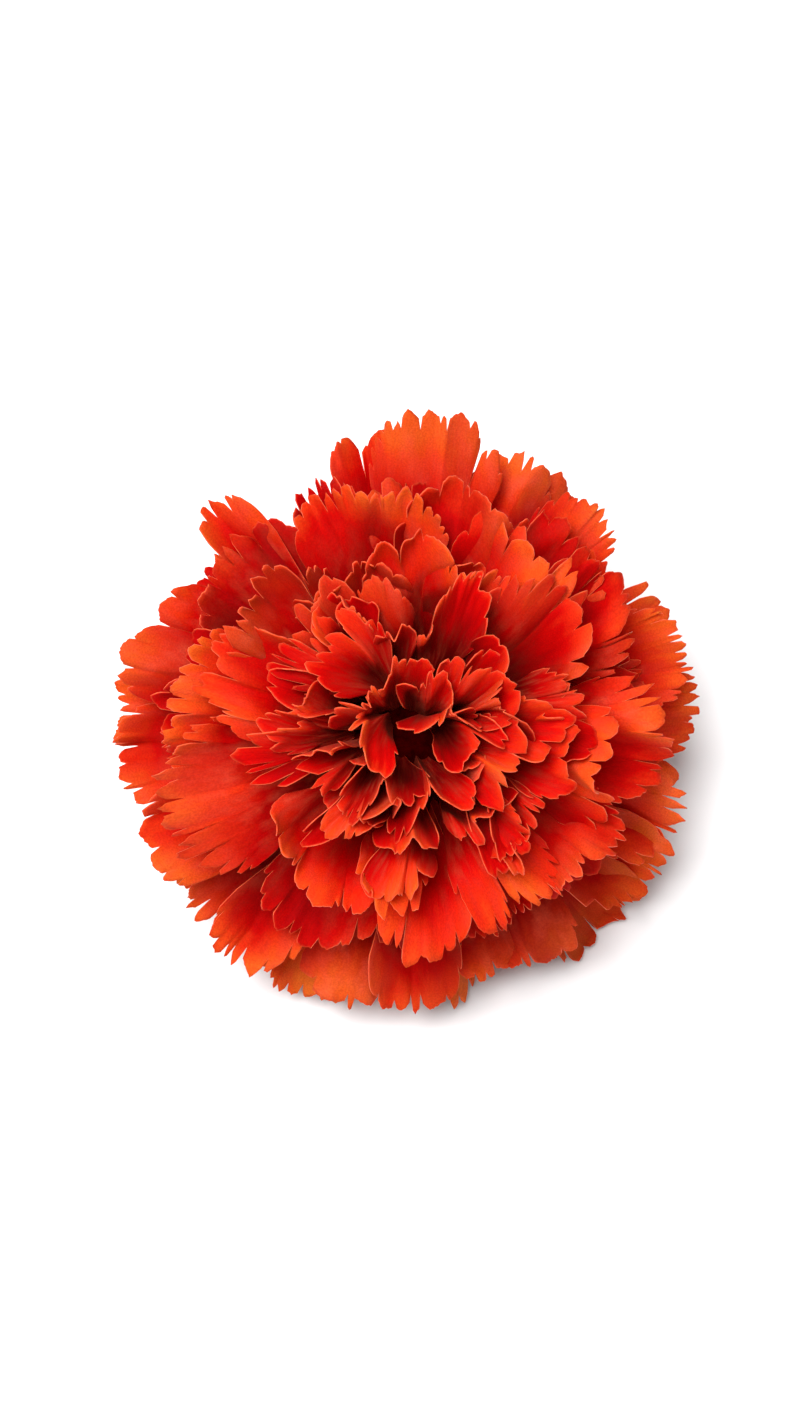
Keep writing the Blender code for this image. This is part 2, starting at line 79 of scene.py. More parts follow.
# Petals of the rim, three under it that the bloom lies on, petals of the shoulder, and one behind the
# crown that hides the calyx from above: azimuth, opening, reach in mm, half width
RIM_PETALS = (
    (86.2, 86, 39.6, 17), (98.5, 100, 37.2, 12), (112.5, 93, 32.2, 12), (134.5, 86, 37.6, 9),
    (145.5, 100, 31.9, 14), (157.2, 93, 34.6, 12), (168.6, 86, 37.2, 11), (179.8, 100, 37.7, 13),
    (189.7, 93, 37.4, 15), (205.5, 86, 37.2, 14), (221.5, 100, 37.2, 12), (227.5, 93, 37.6, 13),
    (235.0, 86, 38.2, 12), (252.0, 100, 40.4, 14), (259.8, 93, 37.9, 14), (271.9, 86, 38.0, 13),
    (281.6, 100, 39.8, 12), (290.9, 93, 35.6, 14), (303.4, 86, 36.7, 14), (315.3, 100, 44.4, 14),
    (326.6, 93, 40.1, 14), (340.2, 86, 37.7, 14), (352.9, 100, 39.2, 13), (2.4, 93, 38.5, 14),
    (15.5, 86, 36.8, 15), (24.4, 100, 38.4, 9), (34.6, 93, 32.4, 12), (50.0, 86, 36.0, 13),
    (56.7, 100, 37.0, 9), (65.8, 93, 36.8, 12),
)
GUARD_PETALS = ((-104.0, 113, 40.0, 18), (-77.0, 110, 40.0, 18), (-50.0, 113, 40.0, 18))
SHOULDER_PETALS = (
    (225.4, 44.4, 33.4, 30), (197.0, 59.5, 35.5, 26), (255.3, 38.0, 32.4, 20), (272.4, 44.0, 33.2, 20),
    (301.2, 39.5, 32.6, 24), (325.5, 48.9, 33.8, 24), (355.2, 42.9, 33.3, 26), (0.3, 58.9, 34.7, 22),
    (45.2, 40.5, 33.2, 29), (36.9, 60.5, 33.0, 22), (92.8, 50.5, 33.3, 24), (60.7, 54.5, 34.1, 26),
    (124.4, 41.2, 31.8, 29), (161.5, 45.8, 33.4, 24), (168.7, 62.5, 35.0, 22), (105.2, 64.0, 35.0, 24),
    (140.4, 57.0, 34.7, 24), (75.9, 46.0, 31.6, 19), (80.9, 59.8, 34.8, 22), (229.5, 20.3, 31.8, 17),
)
BACK_PETALS = ((117.0, 52.0, 31.5, 24),)

# Petals of the crown, and one that arches over its hollow: azimuth and opening of the line each grows
# along, then of the middle of its margin, reach in mm, half width
CROWN_PETALS = (
    (129.3, 31.9, 124.9, 43.7, 32.4, 62), (113.9, 24.1, 108.5, 33.5, 31.3, 44),
    (141.8, 14.2, 127.9, 26.5, 32.0, 76), (136.7, 17.7, 160.1, 17.6, 32.6, 50),
    (175.7, 25.7, 180.5, 39.5, 31.7, 50), (151.9, 27.2, 156.6, 37.7, 30.9, 50),
    (184.6, 19.5, 185.4, 26.6, 31.8, 62), (177.9, 13.3, 218.7, 20.0, 30.8, 78),
    (75.8, 13.1, 26.6, 11.0, 30.6, 56), (3.4, 12.9, 312.3, 10.1, 29.2, 44),
    (27.3, 7.6, 356.2, 17.1, 31.6, 60), (36.9, 15.0, 16.9, 26.7, 31.5, 54),
    (52.3, 13.7, 42.4, 25.7, 32.1, 52), (61.3, 8.8, 61.3, 18.8, 32.0, 58),
    (99.5, 7.2, 88.3, 16.8, 30.3, 62), (10.1, 16.5, 2.3, 31.8, 31.2, 46),
    (237.1, 3.6, 276.0, 11.8, 30.8, 66), (316.0, 15.0, 314.9, 24.6, 31.0, 52),
    (250.0, 14.5, 256.9, 22.2, 31.2, 56), (87.3, 18.5, 83.0, 36.9, 31.9, 38),
    (136.4, 25.0, 135.1, 38.4, 31.3, 56), (212.0, 20.0, 222.7, 29.1, 31.0, 54),
)
BROW_PETALS = ((79.0, 16.5, 56.1, 8.2, 30.8, 60),)
CROWN_FLARES = (0.60, 0.95)
CROWN_LIP = 0.3

# Petals between rim and shoulder, turned by the golden angle from one to the next
FILL_PETALS = 11
FILL_OPENING = 80.0
FILL_OPENING_RANGE = 14.0
FILL_TURN_SPREAD = 5.0
FILL_REACHES = (0.82, 0.90)
FILL_HALF_WIDTHS = (17.0, 23.0)

# Small petals among the crown's, turned by the golden angle from one to the next
HEART_PETALS = 9
HEART_TURN = 290.0
HEART_NEAREST = 5.0
HEART_RANGE = 23.0
HEART_TURN_SPREAD = 14.0
HEART_OPENINGS = (8.0, 14.0)
HEART_REACHES = (0.92, 0.98)
HEART_HALF_WIDTHS = (44.0, 66.0)

# Seeded differences among petals, with the heading of a fold in radians
TURN_SPREAD = 1.0
KEEL_SPREAD = 0.0016
LIPS = (-4.0, 12.0)
FOLD_STRETCHES = (0.8, 1.25)
FOLD_SIZES = (0.5, 1.4)
FOLD_HEADING_SPREAD = 0.38

# Crumpling by kind of petal, from smooth to crisp, and what it adds to a fold and a lip
CRUMPLES = {"rim": 0.0, "guard": 0.0, "fill": 0.1, "shoulder": 0.5, "crown": 0.7}
SMOOTH_FOLD = 0.75
CRUMPLED_FOLD = 0.9
SMOOTH_LIP = 0.4

# Waves of a petal, longest first: wavelength and height. The short ones grow later toward the margin
FOLDS = ((0.024, 0.0022), (0.015, 0.0016), (0.0095, 0.0010), (0.0058, 0.0004), (0.0036, 0.00012))
CROWN_FOLDS = ((0.020, 0.0013), (0.0110, 0.0017), (0.0075, 0.0010), (0.0050, 0.00045), (0.0030, 0.00018))
SHORT_WAVE = 0.008
LONG_GROWTH = 1.6
SHORT_GROWTH = 4.0
FLARED_GROWTH = 1.2
LEAST_FOLD_RADIUS = 0.004

# How far a wave is creased into a zigzag, from 0 to 1, and how sharp the crease may be
CREASE = 0.7
CREASE_SHARPNESS = 0.98

# Swirls that crumple the crown, with their greatest turn in radians
TWISTS = 24
TWIST_NEAREST = 3.0
TWIST_RANGE = 52.0
TWIST_CROWDING = 0.8
TWIST_TURN = 0.35
TWIST_SIZES = (0.5, 1.0)
TWIST_SPREADS = (9.0, 15.0)
UNTWIST_STEPS = 8

# Lobes of a margin, in mm: least and greatest width, least and greatest depth of the cut between two,
# odds and depth of a deep cut, and how far a lobe bends
LOBE_STYLES = {
    "rim": (5.0, 10.0, 0.1, 0.8, 0.16, 3.0, 0.45),
    "guard": (5.0, 10.0, 0.1, 0.8, 0.16, 3.0, 0.45),
    "fill": (4.5, 8.5, 0.3, 1.3, 0.20, 2.8, 0.8),
    "shoulder": (4.5, 9.0, 0.3, 1.3, 0.24, 3.0, 1.1),
    "crown": (5.0, 10.0, 0.2, 1.1, 0.08, 1.8, 1.1),
}
DEEP_CUT_SIZES = (0.6, 1.2)

# From pointed to square lobes
LOBE_ROUNDNESS = {
    "rim": (1.0, 3.2), "guard": (1.0, 3.2), "fill": (1.4, 4.5), "shoulder": (1.6, 5.0), "crown": (1.0, 4.5),
}

# Teeth of a lobe, in mm: least and greatest width, least and greatest depth, least and greatest roundness
TOOTH_STYLES = (
    (1.8, 4.2, 0.4, 1.5, 0.8, 1.4),
    (0.7, 1.8, 0.3, 1.0, 0.8, 1.3),
    (1.3, 3.0, 0.6, 2.1, 0.7, 1.2),
    (0.8, 2.6, 0.15, 0.6, 0.7, 1.6),
)
STYLE_ODDS = {
    "rim": (0.48, 0.08, 0.36, 0.08),
    "guard": (0.48, 0.08, 0.36, 0.08),
    "fill": (0.44, 0.12, 0.32, 0.12),
    "shoulder": (0.50, 0.12, 0.24, 0.14),
    "crown": (0.10, 0.26, 0.04, 0.60),
}
MAIN_STYLE_ODDS = 0.75
SHALLOW_SIDE_ODDS = 0.3
TOOTH_SKEW = 0.45
TOOTH_PUSHES = (-0.0006, 0.0004)

# A last lobe or tooth narrower than this share of the least width joins the one before
LAST_LOBE = 0.5
LAST_TOOTH = 0.4

# Fine petals
PETAL_THICKNESS = 0.00014
PETAL_ROOT = 0.08
MARGIN_BAND = 0.58
BAND_ROWS = 15
BAND_CROWDING = 0.85
ROOT_ROWS = 8
COLUMN_PITCH = 0.00025
FRAY = 0.00022
LOBE_CURL_START = 0.60
TOOTH_CURL_START = 0.80
TOOTH_CURL = 0.0005

# What a petal's colour follows: depth below the dome and shade of the eye, which darken it as painted shade
# of the recesses between petals and partly as its own deeper red toward its root, the outer rows, the crests
# of the folds, which lighten as a painted highlight and darken in their troughs as painted shade, and a tint
# for each petal and each lobe
DEPTH_SPAN = 0.020
CROWN_DEPTH_SPAN = 0.013
EYE_SHADE = 0.16
EYE_SHADE_OPENING = 45.0
LEAST_VEIN_RADIUS = 0.006
OUTER_START = 52.0
OUTER_SPAN = 30.0
CREST_SPAN = 0.0045
LOBE_TINT_START = 0.55
LOBE_TINT_SPAN = 0.2
LOBE_TINT = 0.16
PATTERN_RANGE = 50.0

# Packed claws in the middle of the head: radius and height
CLAW_PROFILE = (
    (0.0044, -0.0025), (0.0058, 0.0020), (0.0075, 0.0065), (0.0090, 0.0105), (0.0095, 0.0130),
    (0.0085, 0.0150), (0.0060, 0.0164), (0.0030, 0.0171), (0.0008, 0.0173),
)
CLAW_SIDES = 144
CLAW_WAVES = ((0.10, 13.0, 220.0, 0.0), (0.06, 29.0, -90.0, 0.0))

# Calyx, a tube that parts into five teeth: outer radius and height, then inner
CALYX_OUTER = (
    (0.0025, -0.0260), (0.0040, -0.0260), (0.0048, -0.0252), (0.0052, -0.0220),
    (0.0056, -0.0140), (0.0061, -0.0070), (0.0065, -0.0035),
)
CALYX_INNER = (
    (0.0025, -0.0252), (0.0036, -0.0252), (0.0041, -0.0247), (0.0044, -0.0220),
    (0.0048, -0.0140), (0.0053, -0.0070), (0.0057, -0.0035),
)
CALYX_TEETH = 5
CALYX_TOOTH_FOOT = -0.0030
CALYX_TOOTH_TIP = 0.0022
CALYX_TOOTH_FLARE = 50.0
CALYX_TOOTH_VARIETY = 0.07
CALYX_TOOTH_RISES = ((0.55, 0.72), (0.45, 1.35))
CALYX_TIP_THICKENING = 0.00025
CALYX_COLUMNS = 240
CALYX_TUBE_ROWS = 30
CALYX_TOOTH_ROWS = 16
CALYX_TOOTH_CROWDING = 0.9
CALYX_WAVES = ((0.00010, 3.0, 0.0, 0.7), (0.00006, 7.0, 160.0, 0.0))
CALYX_RIBS = 40
RIB_HEIGHT = 0.00003
RIB_START = -0.0255
RIB_FADE = 0.004

# Epicalyx, two pairs of bracts on one collar: radius and height of the collar's outside, then the
# bracts, which lean to one side by an angle in radians
EPICALYX_OUTER = ((0.0025, -0.0272), (0.0046, -0.0272), (0.0056, -0.0264), (0.0059, -0.0245))
BRACT_FOOT = -0.0236
BRACT_TIPS = (-0.0190, -0.0172)
BRACT_FLARE = 16.0
BRACT_COUNT = 4
BRACT_HALF_WIDTH = 58.0
BRACT_THICKNESS = 0.0003
BRACT_ROWS = 44
BRACT_COLUMNS = 49
BRACT_PAIR_GAP = 0.00032
BRACT_TIP_WIDTH = 0.02
BRACT_LEAN = 0.05
BRACT_RIB_HEIGHT = 0.00002
BRACT_WAVE = 0.00022
BRACT_TIP_FLARE = 0.0005
MIDRIB_HEIGHT = 0.00014
MIDRIB_WIDTH = 0.00035

# Stem, from the receptacle inside the calyx down past a joint: radius and height, above the cut
STEM_PROFILE = (
    (0.0030, -0.0209), (0.0034, -0.0213), (0.0034, -0.0245), (0.0030, -0.0249), (0.0022, -0.0249),
    (0.0022, -0.0275), (0.0029, -0.0277), (0.0031, -0.0286), (0.0027, -0.0298), (0.0022, -0.0308),
)
STEM_SIDES = 96
STEM_ROWS = 46
STEM_FOOT_ROWS = 12
STEM_WAVES = ((0.012, 9.0, 0.0, 0.0), (0.008, 4.0, 0.0, 1.0))
STEM_CUT_RINGS = (0.86, 0.70, 0.52, 0.34, 0.17)
FAR_FROM_MARGIN = 9.0

# Colours of a petal from the outside of the head down into its recesses, darker with depth as painted shade
# and partly as the petal's own deeper red toward its root, and tints from petal to petal
PETAL_SHADE_STOPS = (
    (0.0, (0.81, 0.074, 0.010)),
    (0.08, (0.77, 0.052, 0.007)),
    (0.20, (0.70, 0.022, 0.004)),
    (0.34, (0.56, 0.0015, 0.001)),
    (0.50, (0.40, 0.0002, 0.0008)),
    (0.75, (0.16, 0.0001, 0.0008)),
)
TINT_STOPS = (
    (0.0, (0.70, 0.60, 0.90)),
    (0.2, (0.90, 0.80, 0.95)),
    (0.5, (1.0, 1.0, 1.0)),
    (0.8, (1.0, 1.15, 1.05)),
    (1.0, (1.0, 1.32, 1.15)),
)
OUTER_TINT = (0.76, 1.06, 1.0)
BACK_COLOR = (0.66, 0.080, 0.045)
# Painted highlight on the crests of the folds
HIGHLIGHT_COLOR = (0.84, 0.125, 0.055)
# Painted light in a thin band along the margin, standing for light through the thin edge
EDGE_LIGHT_COLOR = (0.80, 0.090, 0.032)
SHEEN_COLOR = (1.0, 0.35, 0.18, 1.0)
VEIN_STOPS = ((0.36, (0.86, 0.80, 0.84)), (0.62, (1.0, 1.0, 1.0)))
GRAIN_STOPS = ((0.35, (0.84, 0.76, 0.80)), (0.65, (1.10, 1.18, 1.12)))
# Cut edge of a petal, paler than its faces: painted rim light
RIM_LIGHT_STOPS = ((0.35, (0.70, 0.058, 0.022)), (0.65, (0.86, 0.120, 0.042)))
# Near-black claws: painted shade of the middle of the head
CLAW_SHADE_STOPS = ((0.35, (0.022, 0.0001, 0.0002)), (0.65, (0.050, 0.0001, 0.0003)))

# Noise on a petal: how close its pattern lies across and along, per mm
VEIN_SCALE = (3.2, 0.22)
CLOUD_SCALE = (0.5, 0.28)
GRAIN_SCALE = 4.5
RIM_SCALE = 0.8

# Underside and upper side of a petal: how far it pales toward the back's colour, and its veins' strength
BACK_LOOK = (0.30, 0.5)
FACE_LOOK = (0.0, 0.3)

# Green parts: height in mm and colour, then the colour of veins, margin and dry tip
CALYX_STOPS = (
    (-26.0, (0.215, 0.330, 0.085)),
    (-17.0, (0.125, 0.250, 0.060)),
    (-7.0, (0.100, 0.205, 0.055)),
    (2.0, (0.120, 0.190, 0.050)),
)
CALYX_DETAILS = ((0.075, 0.160, 0.040), (0.42, 0.46, 0.20), (0.30, 0.20, 0.08))
BRACT_STOPS = (
    (-27.0, (0.240, 0.330, 0.090)),
    (-24.0, (0.130, 0.250, 0.065)),
    (-18.0, (0.105, 0.215, 0.060)),
)
BRACT_DETAILS = ((0.080, 0.170, 0.040), (0.46, 0.48, 0.24), (0.34, 0.24, 0.10))
STEM_STOPS = (
    (-34.0, (0.130, 0.265, 0.075)),
    (-29.5, (0.150, 0.290, 0.080)),
    (-27.6, (0.260, 0.360, 0.120)),
    (-26.0, (0.160, 0.290, 0.080)),
)
STEM_DETAILS = ((0.100, 0.200, 0.050), (0.20, 0.30, 0.10), (0.20, 0.30, 0.10))
WAX_BLOOM = (0.30, 0.42, 0.27)

# Cut face of the stem, from its middle out to its skin
CUT_STOPS = (
    (0.0, (0.62, 0.66, 0.40)),
    (0.45, (0.52, 0.60, 0.30)),
    (0.66, (0.24, 0.36, 0.10)),
    (0.76, (0.44, 0.54, 0.22)),
    (0.92, (0.14, 0.27, 0.07)),
)
CUT_RADIUS_MM = 2.4

# Camera and picture
CAMERA_ELEVATION = 68.46
PIXEL = 0.0768 / 599.0
FAN_RIGHT_OF_CENTRE = 6.0
FAN_BELOW_CENTRE = 8.5
PICTURE_HEIGHT = 1421
LENS = 100.0
SENSOR = 36.0

# Floor, reaching this far each way, and wide soft light from above and a little to the left
FLOOR_REACH = 40.0
FLOOR_COLOR = (0.90, 0.90, 0.90, 1.0)
KEY_FROM = (-0.18, -0.08, 0.78)
KEY_ANGLE = 32.0
KEY_STRENGTH = 4.5
WORLD_COLOR = (1.0, 1.0, 1.0, 1.0)
WORLD_STRENGTH = 0.35


class Petal(NamedTuple):
    """What one petal is drawn from, with its angles in radians."""

    azimuth: float
    opening: float
    reach: float
    half_width: float
    folds: tuple
    keel: float
    lip: float
    lobes: tuple
    teeth: tuple
    kind: str
    turn: np.ndarray
    flare: float


def lie_matrix():
    """From the upright bloom to the bloom as it lies."""
    toward = math.radians(LEAN_TOWARD)
    lean = (
        Matrix.Rotation(toward, 4, "Z")
        @ Matrix.Rotation(math.radians(LEAN), 4, "Y")
        @ Matrix.Rotation(-toward, 4, "Z")
    )
    return Matrix.Translation(Vector((SEAT_X, SEAT_Y, FAN_HEIGHT))) @ lean


def laid(points):
    """Upright points as an array, moved to where the bloom lies."""
    lie = np.array(lie_matrix())
    return points @ lie[:3, :3].T + lie[:3, 3]


def around(radius, turn, height):
    """Points at a radius from the axis, at a turn round it and at a height."""
    radius, turn, height = np.broadcast_arrays(radius, turn, height)
    return np.stack([radius * np.cos(turn), radius * np.sin(turn), height], -1)


def waves(turn, height, table):
    """Sum of waves round a part, each with its size, number round it, turn with height and start."""
    return sum(size * np.sin(count * turn + twist * height + start) for size, count, twist, start in table)


def dome_reach(opening):
    share = np.clip(opening / math.radians(90.0), 0.0, 1.0)
    return DOME_HEIGHT + (BLOOM_RADIUS - DOME_HEIGHT) * share ** DOME_POWER


def margin_half_width(half_width, reach, opening):
    return half_width * reach * max(math.sin(opening), LEAST_SPREAD)


def draw_margin(rng, half_width, kind):
    """Lobes, and teeth within each, along a margin from -1 to 1 over this half width in metres."""
    least, greatest, shallow, deep, cut_odds, cut_depth, bend = LOBE_STYLES[kind]
    odds = STYLE_ODDS[kind]
    style = rng.choice(len(TOOTH_STYLES), p=odds)
    lobes, teeth = [], []
    low, before = -1.0, 0.0
    while low < 1.0:
        high = low + rng.uniform(least, greatest) / 1000.0 / half_width
        if high > 1.0 - LAST_LOBE * least / 1000.0 / half_width:
            high = 1.0
        if rng.uniform() > cut_odds:
            after = rng.uniform(shallow, deep)
        else:
            after = cut_depth * rng.uniform(*DEEP_CUT_SIZES)
        roundness = rng.uniform(*LOBE_ROUNDNESS[kind])
        lift, tilt = rng.normal(0.0, bend, 2) / 1000.0
        lobes.append((low, high, before / 1000.0, after / 1000.0, roundness, lift, tilt))
        teeth.extend(draw_teeth(rng, low, high, half_width, style, odds))
        low, before = high, after
    return tuple(lobes), tuple(teeth)


def draw_teeth(rng, low, end, half_width, style, odds):
    """Teeth from one place on a margin to another, mostly of one style."""
    teeth = []
    while low < end:
        as_most = rng.uniform() < MAIN_STYLE_ODDS
        tooth = TOOTH_STYLES[style if as_most else rng.choice(len(TOOTH_STYLES), p=odds)]
        least, greatest, shallow, deep, pointed, rounded = tooth
        high = low + rng.uniform(least, greatest) / 1000.0 / half_width
        if high > end - LAST_TOOTH * least / 1000.0 / half_width:
            high = end
        depth = rng.uniform(shallow, deep) / 1000.0
        left, right = (depth * (0.5 if rng.uniform() < SHALLOW_SIDE_ODDS else 1.0) for _ in range(2))
        roundness = rng.uniform(pointed, rounded)
        skew = rng.uniform(-TOOTH_SKEW, TOOTH_SKEW)
        teeth.append((low, high, left, right, roundness, skew, rng.uniform(*TOOTH_PUSHES)))
        low = high
    return teeth


def draw_petal(rng, azimuth, opening, reach, half_width, kind, turn=None, flare=0.0):
    """A petal at this stand, with seeded folds, keel, lip and margin."""
    azimuth = math.radians(azimuth)
    opening = math.radians(max(opening, LEAST_OPENING))
    half_width = math.radians(half_width)
    crumple = CRUMPLES[kind]
    folds = []
    for wavelength, height in CROWN_FOLDS if kind == "crown" else FOLDS:
        length = wavelength * rng.uniform(*FOLD_STRETCHES)
        heading = rng.normal(0.0, FOLD_HEADING_SPREAD)
        phase = rng.uniform(0.0, 2.0 * math.pi)
        height = height * rng.uniform(*FOLD_SIZES) * (SMOOTH_FOLD + CRUMPLED_FOLD * crumple)
        folds.append((length, heading, phase, height))
    keel = rng.normal(0.0, KEEL_SPREAD)
    lip = math.radians(rng.uniform(*LIPS)) * (SMOOTH_LIP + crumple) * (CROWN_LIP if kind == "crown" else 1.0)
    lobes, teeth = draw_margin(rng, margin_half_width(half_width, reach, opening), kind)
    turn = np.eye(3) if turn is None else turn
    shape = (azimuth, opening, reach, half_width, tuple(folds), keel, lip)
    return Petal(*shape, lobes, teeth, kind, turn, flare)


def direction(azimuth, opening, reach, twists):
    """Unit vector that the twists turn to an azimuth and opening in degrees, at this reach."""
    azimuth, opening = math.radians(azimuth), math.radians(opening)
    across = math.sin(opening)
    wanted = np.array([across * math.cos(azimuth), across * math.sin(azimuth), math.cos(opening)])
    aim = wanted
    for _ in range(UNTWIST_STEPS):
        aim = aim + wanted - twisted(aim * reach, twists) / reach
        aim = aim / np.linalg.norm(aim)
    return aim


def draw_shoulder_petal(rng, twists, azimuth, opening, reach, half_width):
    aim = direction(azimuth, opening, reach, twists)
    azimuth = math.degrees(math.atan2(aim[1], aim[0]))
    return draw_petal(rng, azimuth, math.degrees(math.acos(aim[2])), reach, half_width, "shoulder")


def draw_crown_petal(rng, twists, root_azimuth, root_opening, azimuth, opening, reach, half_width):
    """A petal that grows along a line of its own and flares toward the middle of its margin."""
    root = direction(root_azimuth, root_opening, reach, twists)
    tip = direction(azimuth, opening, reach, twists)
    spread = math.degrees(math.acos(root @ tip))
    face = tip - (root @ tip) * root
    face = face / np.linalg.norm(face)
    turn = np.stack([face, np.cross(root, face), root], axis=-1)
    return draw_petal(rng, 0.0, spread, reach, half_width, "crown", turn, rng.uniform(*CROWN_FLARES))


def draw_petals(twists):
    """Every petal of the head, each from a seed of its own, so that a new last one changes no other."""
    petals = []
    listed = RIM_PETALS + GUARD_PETALS + SHOULDER_PETALS + CROWN_PETALS + BROW_PETALS + BACK_PETALS
    seeds = np.random.SeedSequence(SEED).spawn(len(listed) + FILL_PETALS + HEART_PETALS)
    draws = (np.random.default_rng(seed) for seed in seeds)
    for azimuth, opening, reach, half_width in RIM_PETALS:
        rng = next(draws)
        turn = azimuth + rng.normal(0.0, TURN_SPREAD)
        spread = opening + rng.normal(0.0, TURN_SPREAD)
        petals.append(draw_petal(rng, turn, spread, reach / 1000.0, half_width, "rim"))
    for azimuth, opening, reach, half_width in GUARD_PETALS:
        petals.append(draw_petal(next(draws), azimuth, opening, reach / 1000.0, half_width, "guard"))
    for n in range(FILL_PETALS):
        rng = next(draws)
        opening = FILL_OPENING - FILL_OPENING_RANGE * n / FILL_PETALS + rng.normal(0.0, TURN_SPREAD)
        azimuth = n * GOLDEN_ANGLE + rng.normal(0.0, FILL_TURN_SPREAD)
        reach = dome_reach(math.radians(opening)) * rng.uniform(*FILL_REACHES)
        petals.append(draw_petal(rng, azimuth, opening, reach, rng.uniform(*FILL_HALF_WIDTHS), "fill"))
    for *stand, reach, half_width in SHOULDER_PETALS:
        petals.append(draw_shoulder_petal(next(draws), twists, *stand, reach / 1000.0, half_width))
    for *stand, reach, half_width in CROWN_PETALS:
        petals.append(draw_crown_petal(next(draws), twists, *stand, reach / 1000.0, half_width))
    for n in range(HEART_PETALS):
        rng = next(draws)
        root_azimuth = HEART_TURN + n * GOLDEN_ANGLE
        root_opening = HEART_NEAREST + HEART_RANGE * math.sqrt((n + 0.5) / HEART_PETALS)
        azimuth = root_azimuth + rng.normal(0.0, HEART_TURN_SPREAD)
        opening = root_opening + rng.uniform(*HEART_OPENINGS)
        reach = dome_reach(math.radians(opening)) * rng.uniform(*HEART_REACHES)
        half_width = rng.uniform(*HEART_HALF_WIDTHS)
        stand = (root_azimuth, root_opening, azimuth, opening)
        petals.append(draw_crown_petal(rng, twists, *stand, reach, half_width))
    for *stand, reach, half_width in BROW_PETALS:
        petals.append(draw_crown_petal(next(draws), twists, *stand, reach / 1000.0, half_width))
    for *stand, reach, half_width in BACK_PETALS:
        petals.append(draw_shoulder_petal(next(draws), twists, *stand, reach / 1000.0, half_width))
    return petals


def draw_twists():
    """Swirls that crumple the crown: axis, turn and spread of each."""
    rng = np.random.default_rng(SEED + 1)
    twists = []
    for n in range(TWISTS):
        polar = math.radians(TWIST_NEAREST + TWIST_RANGE * (n / (TWISTS - 1)) ** TWIST_CROWDING)
        azimuth = math.radians(n * GOLDEN_ANGLE)
        axis = (math.sin(polar) * math.cos(azimuth), math.sin(polar) * math.sin(azimuth), math.cos(polar))
        turn = TWIST_TURN * rng.choice((-1.0, 1.0)) * rng.uniform(*TWIST_SIZES)
        twists.append((np.array(axis), turn, math.radians(rng.uniform(*TWIST_SPREADS))))
    return twists


def twisted(points, twists):
    """Points turned about each swirl's axis, most at the axis and at the outside of the head."""
    dist = np.linalg.norm(points, axis=-1, keepdims=True)
    share = np.clip(dist[..., 0] / BLOOM_RADIUS, 0.0, 1.0)
    for axis, turn, spread in twists:
        apart = np.arccos(np.clip((points / np.maximum(dist, 1e-9)) @ axis, -1.0, 1.0))
        angle = (turn * np.exp(-(apart / spread) ** 2) * share ** 2)[..., None]
        across = np.cross(np.broadcast_to(axis, points.shape), points)
        along = (points @ axis)[..., None] * axis
        points = along + (points - along) * np.cos(angle) + across * np.sin(angle)
    return points


def petal_points(petal, across, share, curl, twists):
    """Upright points of a petal, and how far its folds lift each outward.

    Across runs from -1 to 1, share from 0 at the root to 1 at the tip.
    """
    dist = petal.reach * share
    left = np.clip(1.0 - share, 0.0, 1.0)
    flared = np.clip((share - FLARE_START) / (1.0 - FLARE_START), 0.0, None) ** FLARE_POWER
    polar = petal.opening * ((1.0 - petal.flare) * (1.0 - left ** OPEN_POWER) + petal.flare * flared)
    polar = polar + petal.lip * np.clip((share - LIP_START) / (1.0 - LIP_START), 0.0, None) ** 2
    half = petal.half_width * (1.0 - (1.0 - CLAW_WIDTH) * left ** CLAW_POWER)
    arc = across * half * np.maximum(EYE_RADIUS + dist * np.sin(polar), LEAST_ARC_RADIUS)
    rise = petal.keel * (1.0 - 2.0 * np.abs(across) ** KEEL_SHARPNESS) * share ** KEEL_GROWTH
    for wavelength, heading, phase, height in petal.folds:
        growth = (LONG_GROWTH if wavelength > SHORT_WAVE else SHORT_GROWTH) + FLARED_GROWTH * petal.flare
        run = arc * math.cos(heading) + dist * math.sin(heading)
        wave = np.sin(2.0 * math.pi * run / wavelength + phase)
        creased = np.arcsin(CREASE_SHARPNESS * wave) * 2.0 / math.pi
        rise = rise + height * share ** growth * (wave + CREASE * (creased - wave))
    polar = polar + (rise + curl) / np.maximum(dist, LEAST_FOLD_RADIUS)
    radius = EYE_RADIUS + dist * np.sin(polar)
    points = around(radius, petal.azimuth + across * half, dist * np.cos(polar))
    return twisted(points @ petal.turn.T, twists), rise


def place_between(across, low, high):
    """Place on a lobe or tooth, from -1 at its one side to 1 at the other."""
    return (2.0 * across - low - high) / (high - low)


def tooth_tip(low, high, skew):
    return (low + high) / 2.0 + skew * (high - low) / 2.0


def margin_share(petal, across):
    """Share of the reach where the petal ends, tooth by tooth."""
    share = 1.0 - CORNER_DROP[petal.kind] * np.abs(across) ** CORNER_POWER
    for low, high, before, after, roundness, _, _ in petal.lobes:
        off = place_between(across, low, high)
        cut = np.where(off < 0.0, before, after) * np.clip(np.abs(off), 0.0, 1.0) ** roundness
        share = np.where((across >= low) & (across <= high), share - cut / petal.reach, share)
    for low, high, left, right, roundness, skew, push in petal.teeth:
        tip = tooth_tip(low, high, skew)
        before = across < tip
        off = np.where(before, (tip - across) / (tip - low), (across - tip) / (high - tip))
        depth = np.where(before, left, right)
        notch = (push - depth * np.clip(off, 0.0, 1.0) ** roundness) / petal.reach
        share = np.where((across >= low) & (across <= high), share + notch, share)
    return share


